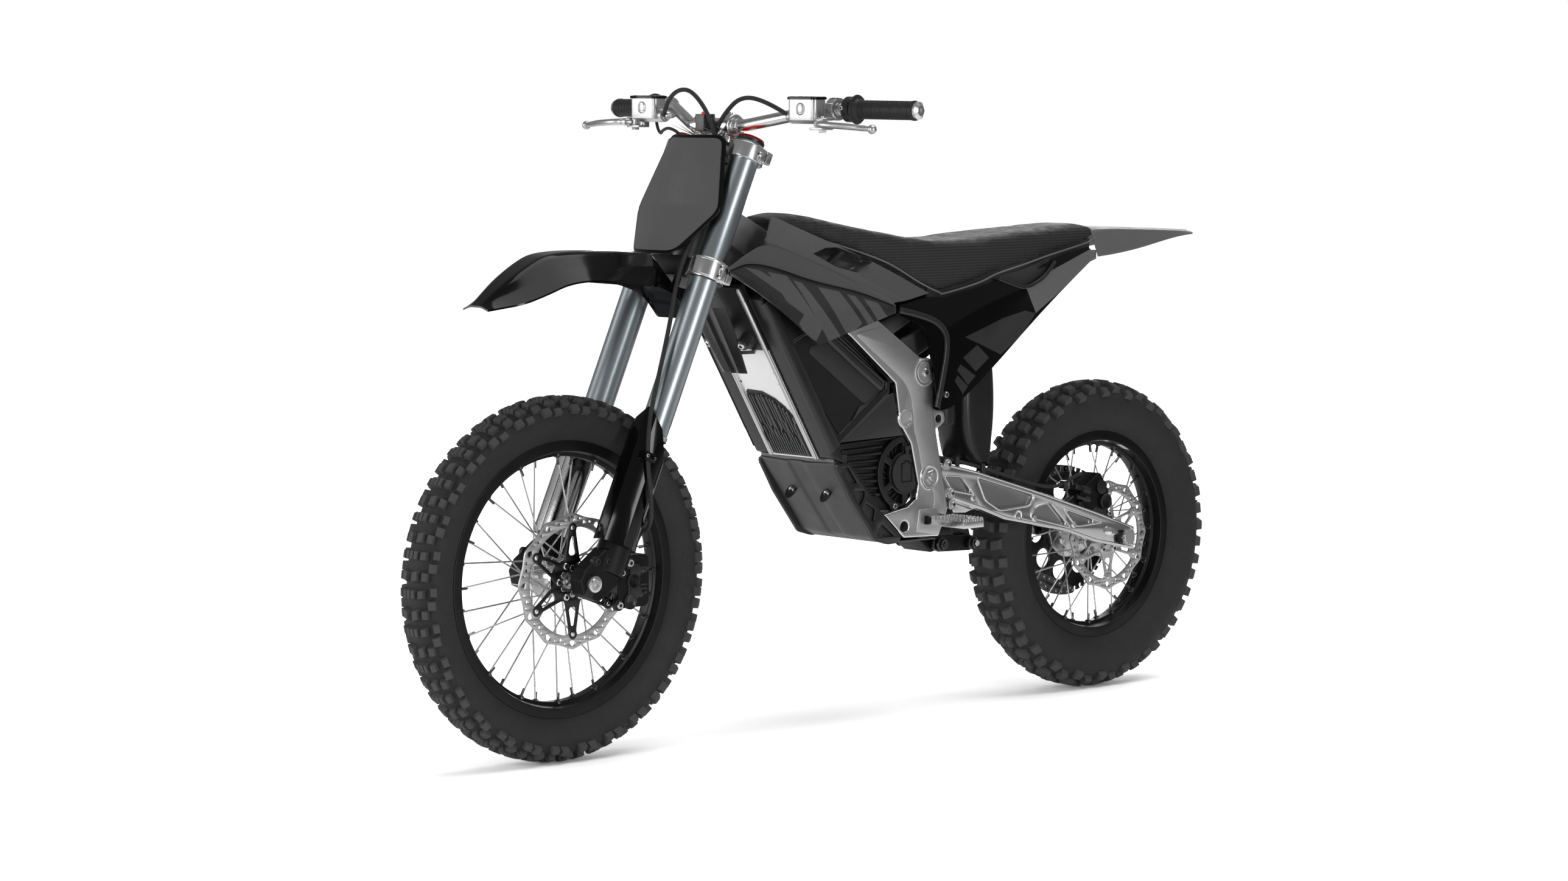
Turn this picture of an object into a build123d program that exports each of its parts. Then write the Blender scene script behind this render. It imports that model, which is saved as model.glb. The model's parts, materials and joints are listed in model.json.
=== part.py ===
from build123d import *
import os
from math import asin, atan2, cos, degrees, hypot, pi, radians, sin, tan

# Electric off-road motorcycle, in millimetres.
# +X is forward, +Y is the rider's left, +Z is up, and the origin lies on the ground
# under the middle of the machine.

# ---------------------------------------------------------------- driving dimensions
WHEELBASE = 1335.0
FRONT_TYRE_R = 318.5
REAR_TYRE_R = 300.0
FRONT_AXLE_X = WHEELBASE / 2 + (REAR_TYRE_R - FRONT_TYRE_R) / 2
REAR_AXLE_X = FRONT_AXLE_X - WHEELBASE

FRONT_RIM_R = 239.0
REAR_RIM_R = 199.0
SPOKE_R = 1.5
SPOKES = 32
AXLE_R = 10.0
RUNNING_GAP = 0.05
SIDE_GAP = 0.3

RAKE = 24.2
AXLE_LEAD = 34.1
FORK_Y = 84.0
FORK_TUBE_R = 26.0
STANCHION_R = 23.5
STEM_SETBACK = 22.0
TUBE_LOW = 278.0
TUBE_TOP = 836.0
LOWER_CLAMP = (574.0, 611.0)
UPPER_CLAMP = (801.0, 830.0)
STEM_R = 15.0

BAR_R = 14.0
BAR_GRIP_R = 11.0
BAR_CENTRE = (285.0, 0.0, 1097.0)
BAR_KNEE = (285.0, 65.0, 1097.0)
BAR_BEND = (212.0, 200.0, 1128.0)
BAR_END = (180.0, 396.0, 1126.0)
GRIP_START = 268.0
GRIP_R = 16.5

PIVOT = (-146.6, 451.0)
ARM_TAPER = 1.7
ARM_IN = 58.0
ARM_OUT = 82.0
PLATE_IN = 84.0
PLATE_OUT = 100.0

MOTOR = (-93.0, 461.0)
SHOCK_TOP = (-132.0, 645.0)
ROCKER_PIVOT = (-275.0, 385.0)
SHOCK_FOOT = (-232.0, 395.0)
LINK_FRONT = (-225.0, 316.0)
LINK_REAR = (-306.0, 313.0)

CHAIN_Y = -62.0
CHAIN_PITCH = 15.875
DRIVE_TEETH = 12
DRIVEN_TEETH = 48
OUTPUT = (-72.0, 456.0)

UNDER_SEAT_TUBE = (-330.0, 762.0)
PLATE_OUTLINE = [
    (60, 795), (-24, 739), (-112, 680), (-156, 655), (-158, 622), (-153, 588), (-177, 474), (-196, 390),
    (-172, 339), (-83, 342), (-32, 388), (-92, 398), (-114, 412), (-119, 440), (-100, 515), (-76, 548),
    (-68, 580), (-60, 628), (52, 717), (118, 762),
]

fork_sin = sin(radians(RAKE))
fork_cos = cos(radians(RAKE))
FORK = Plane(
    origin=(FRONT_AXLE_X - AXLE_LEAD * fork_cos, 0, FRONT_TYRE_R - AXLE_LEAD * fork_sin),
    x_dir=(fork_cos, 0, fork_sin),
    z_dir=(-fork_sin, 0, fork_cos),
)


# ---------------------------------------------------------------- helpers
def save(name, *solids):
    """Write one node, made of one or more separate solids."""
    pieces = []
    for solid in solids:
        pieces += solid.solids()
    export_step(Compound(children=pieces), f"parts/{name}.step")


def mirrored(shape):
    """The same piece on the right-hand side of the machine."""
    return mirror(shape, about=Plane.XZ)


def side_plate(points, y_out, y_in, corner=0):
    """An outline in X and Z, extruded across from y_in to y_out."""
    plane = Plane(origin=(0, y_out, 0), x_dir=(1, 0, 0), z_dir=(0, -1, 0))
    face = make_face(Polyline(*points, close=True))
    if corner:
        face = fillet(face.vertices(), corner)
    return extrude(plane * face, amount=y_out - y_in)


def cross_tube(centre, y_from, y_to, outer, inner=0):
    """A cylinder or ring along Y."""
    plane = Plane(origin=(centre[0], y_from, centre[1]), x_dir=(1, 0, 0), z_dir=(0, 1, 0))
    section = Circle(outer) - Circle(inner) if inner else Circle(outer)
    return extrude(plane * section, amount=y_to - y_from)


def rod(start, end, radius, inner=0):
    """A round bar or tube between two points."""
    line = Vector(*end) - Vector(*start)
    section = Circle(radius) - Circle(inner) if inner else Circle(radius)
    return extrude(Plane(origin=start, z_dir=line) * section, amount=line.length)


def block(x_range, y_range, z_range):
    """A box given by its three ranges."""
    size = [high - low for low, high in (x_range, y_range, z_range)]
    middle = [(high + low) / 2 for low, high in (x_range, y_range, z_range)]
    return Pos(*middle) * Box(*size)


def spun(outline, centre):
    """A (radius, y) outline turned about an axle at centre."""
    face = make_face(Polyline(*outline, close=True))
    return Pos(centre[0], 0, centre[1]) * revolve(face, Axis.Y)


def skin(rows, shift):
    """A faceted sheet through rows of points, thickened by one shift."""
    outer = [[Vector(*point) for point in row] for row in rows]
    inner = [[point + Vector(*shift) for point in row] for row in outer]
    faces = []

    def facet(a, b, c):
        faces.append(Face(Wire.make_polygon([a, b, c], close=True)))

    for sheet in (outer, inner):
        for low, high in zip(sheet, sheet[1:]):
            for i in range(len(low) - 1):
                facet(low[i], low[i + 1], high[i])
                facet(low[i + 1], high[i + 1], high[i])

    def rim(a, b):
        for i in range(len(a) - 1):
            facet(a[i], a[i + 1], b[i + 1])
            facet(a[i], b[i + 1], b[i])

    rim(outer[0], inner[0])
    rim(outer[-1], inner[-1])
    rim([row[0] for row in outer], [row[0] for row in inner])
    rim([row[-1] for row in outer], [row[-1] for row in inner])
    return Solid(Shell(faces))


def both_sides(half_row):
    """A row of points from the centre plane outwards, mirrored into a full row."""
    left = [(x, -y, z) for x, y, z in reversed(half_row) if y > 0]
    return left + list(half_row)


def line_hose(points, radius):
    """A hose along straight runs joined by tangent arcs."""
    corners = [Vector(*point) for point in points]
    radii = []
    for before, here, after in zip(corners, corners[1:], corners[2:]):
        turn = (here - before).get_angle(after - here)
        shorter = min((here - before).length, (after - here).length)
        radii.append(0.45 * shorter / tan(radians(turn / 2)))
    path = FilletPolyline(*points, radius=radii)
    start = Plane(origin=path @ 0, z_dir=path % 0)
    tube = sweep(start * Circle(radius), path=path)
    fullness = tube.volume / (pi * radius**2 * path.length)
    print("hose length", round(path.length, 1), "fullness", round(fullness, 3), "bends", [round(r) for r in radii])
    return tube


def in_fork(shape):
    """Place a shape drawn in the fork's own frame: X ahead, Y left, Z up the leg."""
    return FORK.location * shape


def fork_point(ahead, left, up):
    """A point given in the fork's own frame."""
    return tuple(FORK.origin + FORK.x_dir * ahead + Vector(0, left, 0) + FORK.z_dir * up)


# ---------------------------------------------------------------- wheels
def tyre(centre, tyre_r, rim_r, half_width, rim_half):
    """A hollow tyre: bead inside the rim's flanges, bulging side walls and a round crown."""
    bead = rim_half - 4.7
    lip = rim_r + 2.5
    waist = (tyre_r + rim_r) / 2 - 8
    outside = [(lip, bead), (waist, half_width), (tyre_r - 9, half_width * 0.62), (tyre_r, 0)]
    wall = 6.5
    inside = [(lip, bead - wall), (waist, half_width - wall), (tyre_r - 22, 0)]

    def mirror_y(points):
        return [(r, -y) for r, y in points]

    outer_side = ThreePointArc(outside[0], outside[1], outside[2])
    crown = ThreePointArc(outside[2], outside[3], mirror_y(outside)[2])
    other_side = ThreePointArc(mirror_y(outside)[2], mirror_y(outside)[1], mirror_y(outside)[0])
    foot = rim_r - 12.5
    left_foot = Polyline(mirror_y(outside)[0], (foot, -bead), (foot, -bead + wall), mirror_y(inside)[0])
    hollow_low = ThreePointArc(mirror_y(inside)[0], mirror_y(inside)[1], (tyre_r - 30, -half_width * 0.5))
    hollow_top = ThreePointArc((tyre_r - 30, -half_width * 0.5), inside[2], (tyre_r - 30, half_width * 0.5))
    hollow_up = ThreePointArc((tyre_r - 30, half_width * 0.5), inside[1], inside[0])
    right_foot = Polyline(inside[0], (foot, bead - wall), (foot, bead), outside[0])
    edges = [outer_side, crown, other_side, left_foot, hollow_low, hollow_top, hollow_up, right_foot]
    face = make_face(Wire(sum((list(edge.edges()) for edge in edges), [])))
    return Pos(centre[0], 0, centre[1]) * revolve(face, Axis.Y)


def rim(centre, rim_r, rim_half):
    """A channel rim with two flanges and a deeper well."""
    outline = [
        (rim_r + 2, rim_half),
        (rim_r + 2, rim_half - 4),
        (rim_r - 13, rim_half - 4),
        (rim_r - 14, 9),
        (rim_r - 21, 7),
    ]
    outline += [(r, -y) for r, y in reversed(outline)]
    outline += [(rim_r - 16, -rim_half), (rim_r - 20, -11), (rim_r - 26, -9)]
    outline += [(rim_r - 26, 9), (rim_r - 20, 11), (rim_r - 16, rim_half)]
    return spun(outline, centre)


def spokes(centre, flange_r, flange_y, rim_r):
    """Crossed spokes from the two hub flanges to the rim's well."""
    sweep_angle = radians(58)
    result = []
    for i in range(SPOKES):
        side = 1 if i % 2 == 0 else -1
        lean = 1 if (i // 2) % 2 == 0 else -1
        at_rim = 2 * pi * i / SPOKES
        at_hub = at_rim + lean * sweep_angle
        y_hub = flange_y[0 if side > 0 else 1] + side * lean * 2.6
        start = (centre[0] + flange_r * cos(at_hub), y_hub, centre[1] + flange_r * sin(at_hub))
        end_r = rim_r - 22
        end = (centre[0] + end_r * cos(at_rim), side * 4, centre[1] + end_r * sin(at_rim))
        result.append(rod(start, end, SPOKE_R))
    return result


def hub(centre, flange_r, flanges, ends, barrel_r):
    """A barrel with two spoke flanges, bored for the axle."""
    body = cross_tube(centre, ends[1], ends[0], barrel_r)
    for y in flanges:
        body += cross_tube(centre, y - 4, y + 4, flange_r)
    return body - cross_tube(centre, ends[1] - 1, ends[0] + 1, AXLE_R + RUNNING_GAP)


def wave_rotor(centre, outer_r, y_range, waves, band, arms, bore):
    """A brake disc with a scalloped rim, drilled band and open arms."""
    x, z = centre
    y_low, y_high = y_range
    disc = cross_tube(centre, y_low, y_high, outer_r)
    for i in range(waves):
        angle = 2 * pi * (i + 0.5) / waves
        reach = outer_r + 13
        spot = (x + reach * cos(angle), z + reach * sin(angle))
        disc -= cross_tube(spot, y_low - 1, y_high + 1, 18)
    window = cross_tube(centre, y_low - 1, y_high + 1, outer_r - band)
    window -= cross_tube(centre, y_low - 1, y_high + 1, bore + 16)
    for i in range(arms):
        angle = 360 * i / arms + 30
        arm = Pos(x, (y_low + y_high) / 2, z) * Rot(0, -angle, 0) * Pos(outer_r / 2, 0, 0)
        window -= arm * Box(outer_r, y_high - y_low + 4, 16)
    disc -= window
    for i in range(4 * arms):
        angle = 2 * pi * (i + 0.5) / (4 * arms)
        reach = outer_r - band / 2 - (2 if i % 2 else -3)
        spot = (x + reach * cos(angle), z + reach * sin(angle))
        disc -= cross_tube(spot, y_low - 1, y_high + 1, 3)
    return disc - cross_tube(centre, y_low - 1, y_high + 1, bore)


def sprocket(centre, teeth, y_range, bore, windows=0):
    """A toothed disc for the roller chain, with pockets for the rollers."""
    pitch_r = CHAIN_PITCH / (2 * sin(pi / teeth))
    disc = cross_tube(centre, y_range[0], y_range[1], pitch_r + 4.5)
    for i in range(teeth):
        angle = 2 * pi * i / teeth
        spot = (centre[0] + pitch_r * cos(angle), centre[1] + pitch_r * sin(angle))
        disc -= cross_tube(spot, y_range[0] - 1, y_range[1] + 1, 5.1)
    for i in range(windows):
        angle = 2 * pi * i / windows
        reach = (pitch_r + bore) / 2 + 4
        spot = (centre[0] + reach * cos(angle), centre[1] + reach * sin(angle))
        disc -= cross_tube(spot, y_range[0] - 1, y_range[1] + 1, 19)
    return disc - cross_tube(centre, y_range[0] - 1, y_range[1] + 1, bore)


def front_wheel():
    """Tyre, rim, spokes, hub and brake disc on the front axle."""
    centre = (FRONT_AXLE_X, FRONT_TYRE_R)
    save("front_tyre", tyre(centre, FRONT_TYRE_R, FRONT_RIM_R, 39, 24.5))
    save("front_rim", rim(centre, FRONT_RIM_R, 24.5))
    save("front_spokes", *spokes(centre, 32, (27, -27), FRONT_RIM_R))
    save("front_hub", hub(centre, 37, (27, -27), (43, -43), 21))
    save("front_rotor", wave_rotor(centre, 118.5, (43, 46.5), 12, 24, 6, 15))


def rear_wheel():
    """Tyre, rim, spokes, hub, brake disc and sprocket on the rear axle."""
    centre = (REAR_AXLE_X, REAR_TYRE_R)
    save("rear_tyre", tyre(centre, REAR_TYRE_R, REAR_RIM_R, 49, 27.5))
    save("rear_rim", rim(centre, REAR_RIM_R, 27.5))
    save("rear_spokes", *spokes(centre, 38, (32, -32), REAR_RIM_R))
    body = hub(centre, 43, (32, -32), (53, -59), 24)
    body += cross_tube(centre, -59, -50, 52, 24)
    save("rear_hub", body)
    save("rear_rotor", wave_rotor(centre, 107, (53, 57), 12, 22, 6, 15))
    save("rear_sprocket", sprocket(centre, DRIVEN_TEETH, (-65, -59), 28, 9))


# ---------------------------------------------------------------- fork and steering
def fork_lower():
    """Stanchions, axle lugs, guards, axle and caliper: the part that slides."""
    legs = []
    feet = []
    guards = []
    for side in (1, -1):
        legs.append(in_fork(Pos(0, side * FORK_Y, 50) * extrude(Circle(STANCHION_R), amount=500)))
        outline = [(-24, 66), (-22, 20), (8, -24), (44, -24), (60, -4), (58, 18), (30, 66)]
        lug = side_plate(outline, FORK_Y + 16, FORK_Y - 16, 5)
        foot = lug + Pos(0, FORK_Y, 30) * extrude(Circle(28), amount=54)
        foot -= Pos(0, FORK_Y, 50) * extrude(Circle(STANCHION_R), amount=60)
        foot -= cross_tube((AXLE_LEAD, 0), FORK_Y - 30, FORK_Y + 30, AXLE_R)
        foot = in_fork(foot)
        shell = Circle(35) - Circle(31.5)
        shell &= Pos(22, 8) * Rectangle(60, 90)
        guard = Pos(0, FORK_Y, 86) * extrude(shell, amount=253)
        guard = in_fork(guard)
        feet.append(foot if side > 0 else mirrored(foot))
        guards.append(guard if side > 0 else mirrored(guard))
    save("fork_stanchions", *legs)
    save("fork_feet", *feet)
    save("fork_guards", *guards)

    centre = (FRONT_AXLE_X, FRONT_TYRE_R)
    axle = cross_tube(centre, -104, 104, AXLE_R)
    axle += cross_tube(centre, 100, 108, 15)
    axle += cross_tube(centre, -108, -100, 15)
    inner_face = FORK_Y - 16
    axle += cross_tube(centre, 43 + SIDE_GAP, inner_face, 14.5)
    axle += cross_tube(centre, -inner_face, -43 - SIDE_GAP, 14.5)
    save("front_axle", axle)

    body = block((-34, 34), (27, 66), (-46, 46))
    body = fillet(body.edges().filter_by(Axis.Y), 12)
    body -= block((-20, 40), (41.5, 48), (-60, 60))
    for height in (-18, 18):
        body += cross_tube((-2, height), 66, 69, 14)
    ear = side_plate([(10, 40), (48, 30), (50, -6), (20, -40), (10, -40)], 66, 56, 5)
    caliper = Pos(FRONT_AXLE_X - 122, 0, FRONT_TYRE_R - 8) * (body + ear)
    caliper += side_plate([(575, 340), (600, 330), (604, 300), (575, 290)], inner_face - 0.1, 58)
    caliper -= in_fork(Pos(0, FORK_Y, 20) * extrude(Circle(28 + SIDE_GAP), amount=80))
    save("front_caliper", caliper)


def clamp_plate(low, high, reach):
    """One triple clamp: two fork rings joined by a bridge round the stem."""
    ring = Circle(FORK_TUBE_R + 8)
    bridge = Rectangle(44, 2 * FORK_Y - 20)
    plate = Pos(-8, 0) * bridge + Pos(-STEM_SETBACK, 0) * Circle(30) + Pos(reach, 0) * Rectangle(24, 90)
    for y in (FORK_Y, -FORK_Y):
        plate += Pos(0, y) * ring
    for y in (FORK_Y, -FORK_Y):
        plate -= Pos(0, y) * Circle(FORK_TUBE_R)
    return Pos(0, 0, low) * extrude(plate, amount=high - low)


def steering():
    """Fork tubes, clamps, stem and everything that turns with the handlebar."""
    tubes = []
    caps = []
    for y in (FORK_Y, -FORK_Y):
        wall = Circle(FORK_TUBE_R) - Circle(STANCHION_R + SIDE_GAP)
        tubes.append(in_fork(Pos(0, y, TUBE_LOW) * extrude(wall, amount=TUBE_TOP - TUBE_LOW)))
        cap = Pos(0, y, TUBE_TOP) * extrude(Circle(25), amount=4)
        cap += Pos(0, y, TUBE_TOP + 4) * extrude(RegularPolygon(19, 6), amount=3)
        cap += Pos(0, y, TUBE_TOP + 7) * extrude(Circle(11), amount=6)
        cap += Pos(0, y, TUBE_TOP - 20) * extrude(Circle(STANCHION_R), amount=20)
        caps.append(in_fork(cap))
    save("fork_tubes", *tubes)
    save("fork_caps", *caps)

    stem_at = Pos(-STEM_SETBACK, 0, LOWER_CLAMP[1] - 20)
    lower = clamp_plate(*LOWER_CLAMP, 14)
    lower += stem_at * extrude(Circle(STEM_R), amount=UPPER_CLAMP[1] - LOWER_CLAMP[1] + 26)
    upper = clamp_plate(*UPPER_CLAMP, 10)
    upper -= stem_at * extrude(Circle(STEM_R), amount=300)
    bar_local = FORK.to_local_coords(Vector(*BAR_CENTRE))
    risers = []
    for y in (35, -35):
        post = Pos(bar_local.X, y, UPPER_CLAMP[1]) * extrude(Circle(13), amount=bar_local.Z - UPPER_CLAMP[1])
        saddle = rod((bar_local.X, y - 13, bar_local.Z), (bar_local.X, y + 13, bar_local.Z), BAR_R + 7)
        riser = post + saddle
        riser -= rod((bar_local.X, y - 20, bar_local.Z), (bar_local.X, y + 20, bar_local.Z), BAR_R)
        risers.append(in_fork(riser))
    save("triple_clamps", in_fork(lower), in_fork(upper), *risers)


def handlebar():
    """The bar, its grips and controls, and the two hand levers."""
    mid = Vector(*BAR_KNEE)
    bend = Vector(*BAR_BEND)
    end = Vector(*BAR_END)
    right = [Vector(p.X, -p.Y, p.Z) for p in (end, bend, mid)]
    path = FilletPolyline(*right, mid, bend, end, radius=[70, 60, 60, 70])
    tube = sweep(Plane(origin=path @ 0, z_dir=path % 0) * Circle(BAR_GRIP_R), path=path)
    thick = rod((BAR_CENTRE[0], -60, BAR_CENTRE[2]), (BAR_CENTRE[0], 60, BAR_CENTRE[2]), BAR_R)
    save("handlebar", tube + thick)

    along = (end - bend).normalized()
    grip_at = bend + along * ((GRIP_START - bend.Y) / along.Y)
    stop = end + along * 2

    def grip(length_end):
        body = rod(tuple(grip_at), tuple(length_end), GRIP_R)
        body += rod(tuple(grip_at), tuple(grip_at + along * 4), 25)
        body -= rod(tuple(grip_at - along), tuple(end), BAR_GRIP_R + 0.05)
        return body

    save("left_grip", grip(stop))
    save("throttle_grip", mirrored(grip(stop)))

    bodies = []
    for side in (1, -1):
        bar_point = bend + along * 24
        tank = block((250, 282), (178, 246), (1108, 1146))
        tank = fillet(tank.edges().filter_by(Axis.Z), 8)
        tank += block((253, 279), (181, 243), (1146, 1150))
        tank += rod((262, 170, 1114), (262, 236, 1114), 12)
        ring = rod(tuple(bar_point - along * 9), tuple(bar_point + along * 9), 20)
        arm = block((222, 256), (bar_point.Y - 9, bar_point.Y + 9), (1112, 1138))
        ears = block((250, 276), (228, 262), (1108, 1112)) + block((250, 276), (228, 262), (1092, 1096))
        ears += block((250, 262), (228, 236), (1092, 1112))
        body = tank + ring + arm + ears - tube
        body -= rod((264, 250, 1080), (264, 250, 1120), 4.05)
        if side < 0:
            body = mirrored(body)
        bodies.append(body)
    save("master_cylinders", *bodies)

    blade = FilletPolyline((264, 250, 1102), (292, 270, 1101), (286, 330, 1098), (272, 380, 1095), radius=[14, 60])
    lever = sweep(Plane(origin=blade @ 0, z_dir=blade % 0) * Ellipse(5.5, 4.5), path=blade)
    lever += Pos(271.4, 381.7, 1094.5) * Sphere(8)
    lever += rod((264, 250, 1096.3), (264, 250, 1107.7), 9)
    lever += rod((264, 250, 1088), (264, 250, 1116), 4)
    save("rear_brake_lever", lever)
    save("front_brake_lever", mirrored(lever))

    switch = block((299.5, 326), (-16, 10), (1088, 1118))
    switch = fillet(switch.edges().filter_by(Axis.Z), 3)
    switch -= rod((312, -3, 1107), (312, -3, 1125), 7.4)
    save("power_switch", switch)
    save("power_button", rod((312, -3, 1112), (312, -3, 1121), 7))


def front_bodywork():
    """Number plate and front mudguard, both carried by the clamps."""
    rows = []
    for z, half, x in ((1082, 72, 331), (1040, 84, 346), (951, 111, 377), (915, 86, 405), (876, 56, 436)):
        rows.append(both_sides([(x + 14, 0, z), (x + 11, half * 0.5, z), (x, half, z)]))
    plate = skin(rows, (-4, 0, 0))
    save("number_plate", plate)

    stations = [
        # x, centre z, ridge y, ridge z, edge y, edge z
        (830, 797, 18, 796, 34, 791),
        (780, 833, 40, 818, 60, 801),
        (710, 867, 49, 846, 70, 818),
        (680, 878, 52, 856, 74, 836),
        (640, 881, 53, 858, 74, 838),
        (550, 881, 52, 857, 70, 829),
        (470, 878, 48, 853, 56, 822),
        (440, 850, 44, 838, 50, 812),
        (416, 812, 42, 810, 48, 800),
        (391, 763, 38, 763, 44, 765),
    ]
    rows = []
    for x, z, ridge_y, ridge_z, edge_y, edge_z in stations:
        rows.append(both_sides([(x, 0, z), (x, ridge_y * 0.6, z), (x, ridge_y, ridge_z), (x, edge_y, edge_z)]))
    fender = skin(rows, (0, 0, -3.5))
    pad = in_fork(block((-12, 34), (-24, 24), (560, LOWER_CLAMP[0])))
    cut = skin(rows, (0, 0, -90))
    save("front_fender", fender, pad - cut)


def control_lines():
    """Front brake hose down the left leg, and the lines from the bar to the frame."""
    down_leg = [fork_point(*p) for p in (
        (34, 62, 745), (38, 66, 655), (50, 70, 570), (46, 88, 480), (42, 98, 395),
        (38, 106, 310), (26, 122, 235), (-4, 130, 175), (-40, 112, 130),
    )]
    start = [(268, -167, 1114), (284, -140, 1146), (300, -90, 1172), (318, -30, 1168), (328, 28, 1118), (332, 52, 1056)]
    finish = [(536, 76, 396), (530, 56, 359)]
    save("front_brake_hose", line_hose(start + down_leg + finish, 3.2))
    rear_line = [(262, 166, 1114), (276, 128, 1138), (298, 78, 1152), (316, 48, 1116), (317, 26, 1080), (332, 22, 1040),
                 (350, 22, 990), (346, 34, 940), (326, 54, 896), (262, 58, 862), (234, 58, 815.5)]
    switch_line = [(238, -224, 1111.9), (239, -220, 1092), (262, -182, 1080), (298, -136, 1088), (320, -90, 1094),
                   (324, -48, 1078), (338, -34, 1020), (346, -34, 950), (326, -54, 896), (262, -58, 862),
                   (234, -58, 815.5)]
    save("bar_lines", line_hose(rear_line, 3.2), line_hose(switch_line, 2.4))


# ---------------------------------------------------------------- frame and body
def main_frame():
    """Head tube, head casting, twin spars, cross tubes and the seat's rails."""
    head = Pos(-STEM_SETBACK, 0, LOWER_CLAMP[1] + 2) * extrude(
        Circle(31) - Circle(STEM_R + SIDE_GAP), amount=UPPER_CLAMP[0] - LOWER_CLAMP[1] - 4)
    head = in_fork(head)
    bore = in_fork(Pos(-STEM_SETBACK, 0, 560) * extrude(Circle(STEM_R + SIDE_GAP), amount=400))
    casting = side_plate([(282, 948), (200, 906), (200, 850), (256, 812), (322, 862), (300, 905)], 46, -46, 8)
    above_lower = in_fork(block((-200, 200), (-100, 100), (LOWER_CLAMP[1] + 2, 900)))
    casting = (casting - bore) & above_lower
    yoke = side_plate([(216, 896), (150, 860), (150, 815), (216, 845)], 84, -84)
    frame = head + casting + yoke
    spar = side_plate([(216, 896), (150, 860), (-24, 735), (-112, 672), (-110, 650), (-60, 642), (52, 722), (216, 836)], 84, 70)
    frame += spar + mirrored(spar)
    for centre, radius in ((SHOCK_TOP, 14), (PIVOT, AXLE_R)):
        frame += cross_tube(centre, -PLATE_IN, PLATE_IN, radius if radius == AXLE_R else 8)
    cradle = side_plate([(-40, 385), (-130, 385), (-178, 362), (-178, 352), (-168, 342), (-80, 342), (-40, 362)], 84, -84)
    cradle -= side_plate([(-50, 378), (-128, 378), (-166, 360), (-160, 350), (-84, 350), (-50, 366)], 70, -70)
    frame += cradle
    lug = side_plate([(-165, 350), (-215, 334), (-240, 322), (-240, 304), (-214, 300), (-165, 342)], 36, -36)
    lug -= cross_tube(LINK_FRONT, -40, 40, 8.05)
    frame += lug
    rail = side_plate([(-60, 690), (-120, 662), (-300, 750), (-620, 838), (-620, 856), (-300, 770)], 72, 60)
    frame += rail + mirrored(rail)
    for centre in (UNDER_SEAT_TUBE, (-600, 842)):
        frame += cross_tube(centre, -60, 60, 9)
    save("main_frame", frame)


def frame_plates():
    """The two forged plates that carry the motor, pivot and foot pegs."""
    plate = side_plate(PLATE_OUTLINE, PLATE_OUT, PLATE_IN)
    plate += cross_tube(SHOCK_TOP, PLATE_IN, PLATE_OUT + 1, 26)
    plate += cross_tube((-86, 562), PLATE_IN, PLATE_OUT, 19)
    plate -= cross_tube((-86, 562), PLATE_IN - 1, PLATE_OUT + 1, 11)
    plate -= cross_tube((-84, 363), PLATE_IN - 1, PLATE_OUT + 1, 10)
    plate += cross_tube(PIVOT, PLATE_IN, PLATE_OUT + 3, 22)
    save("frame_plates", plate, mirrored(plate))


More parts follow.
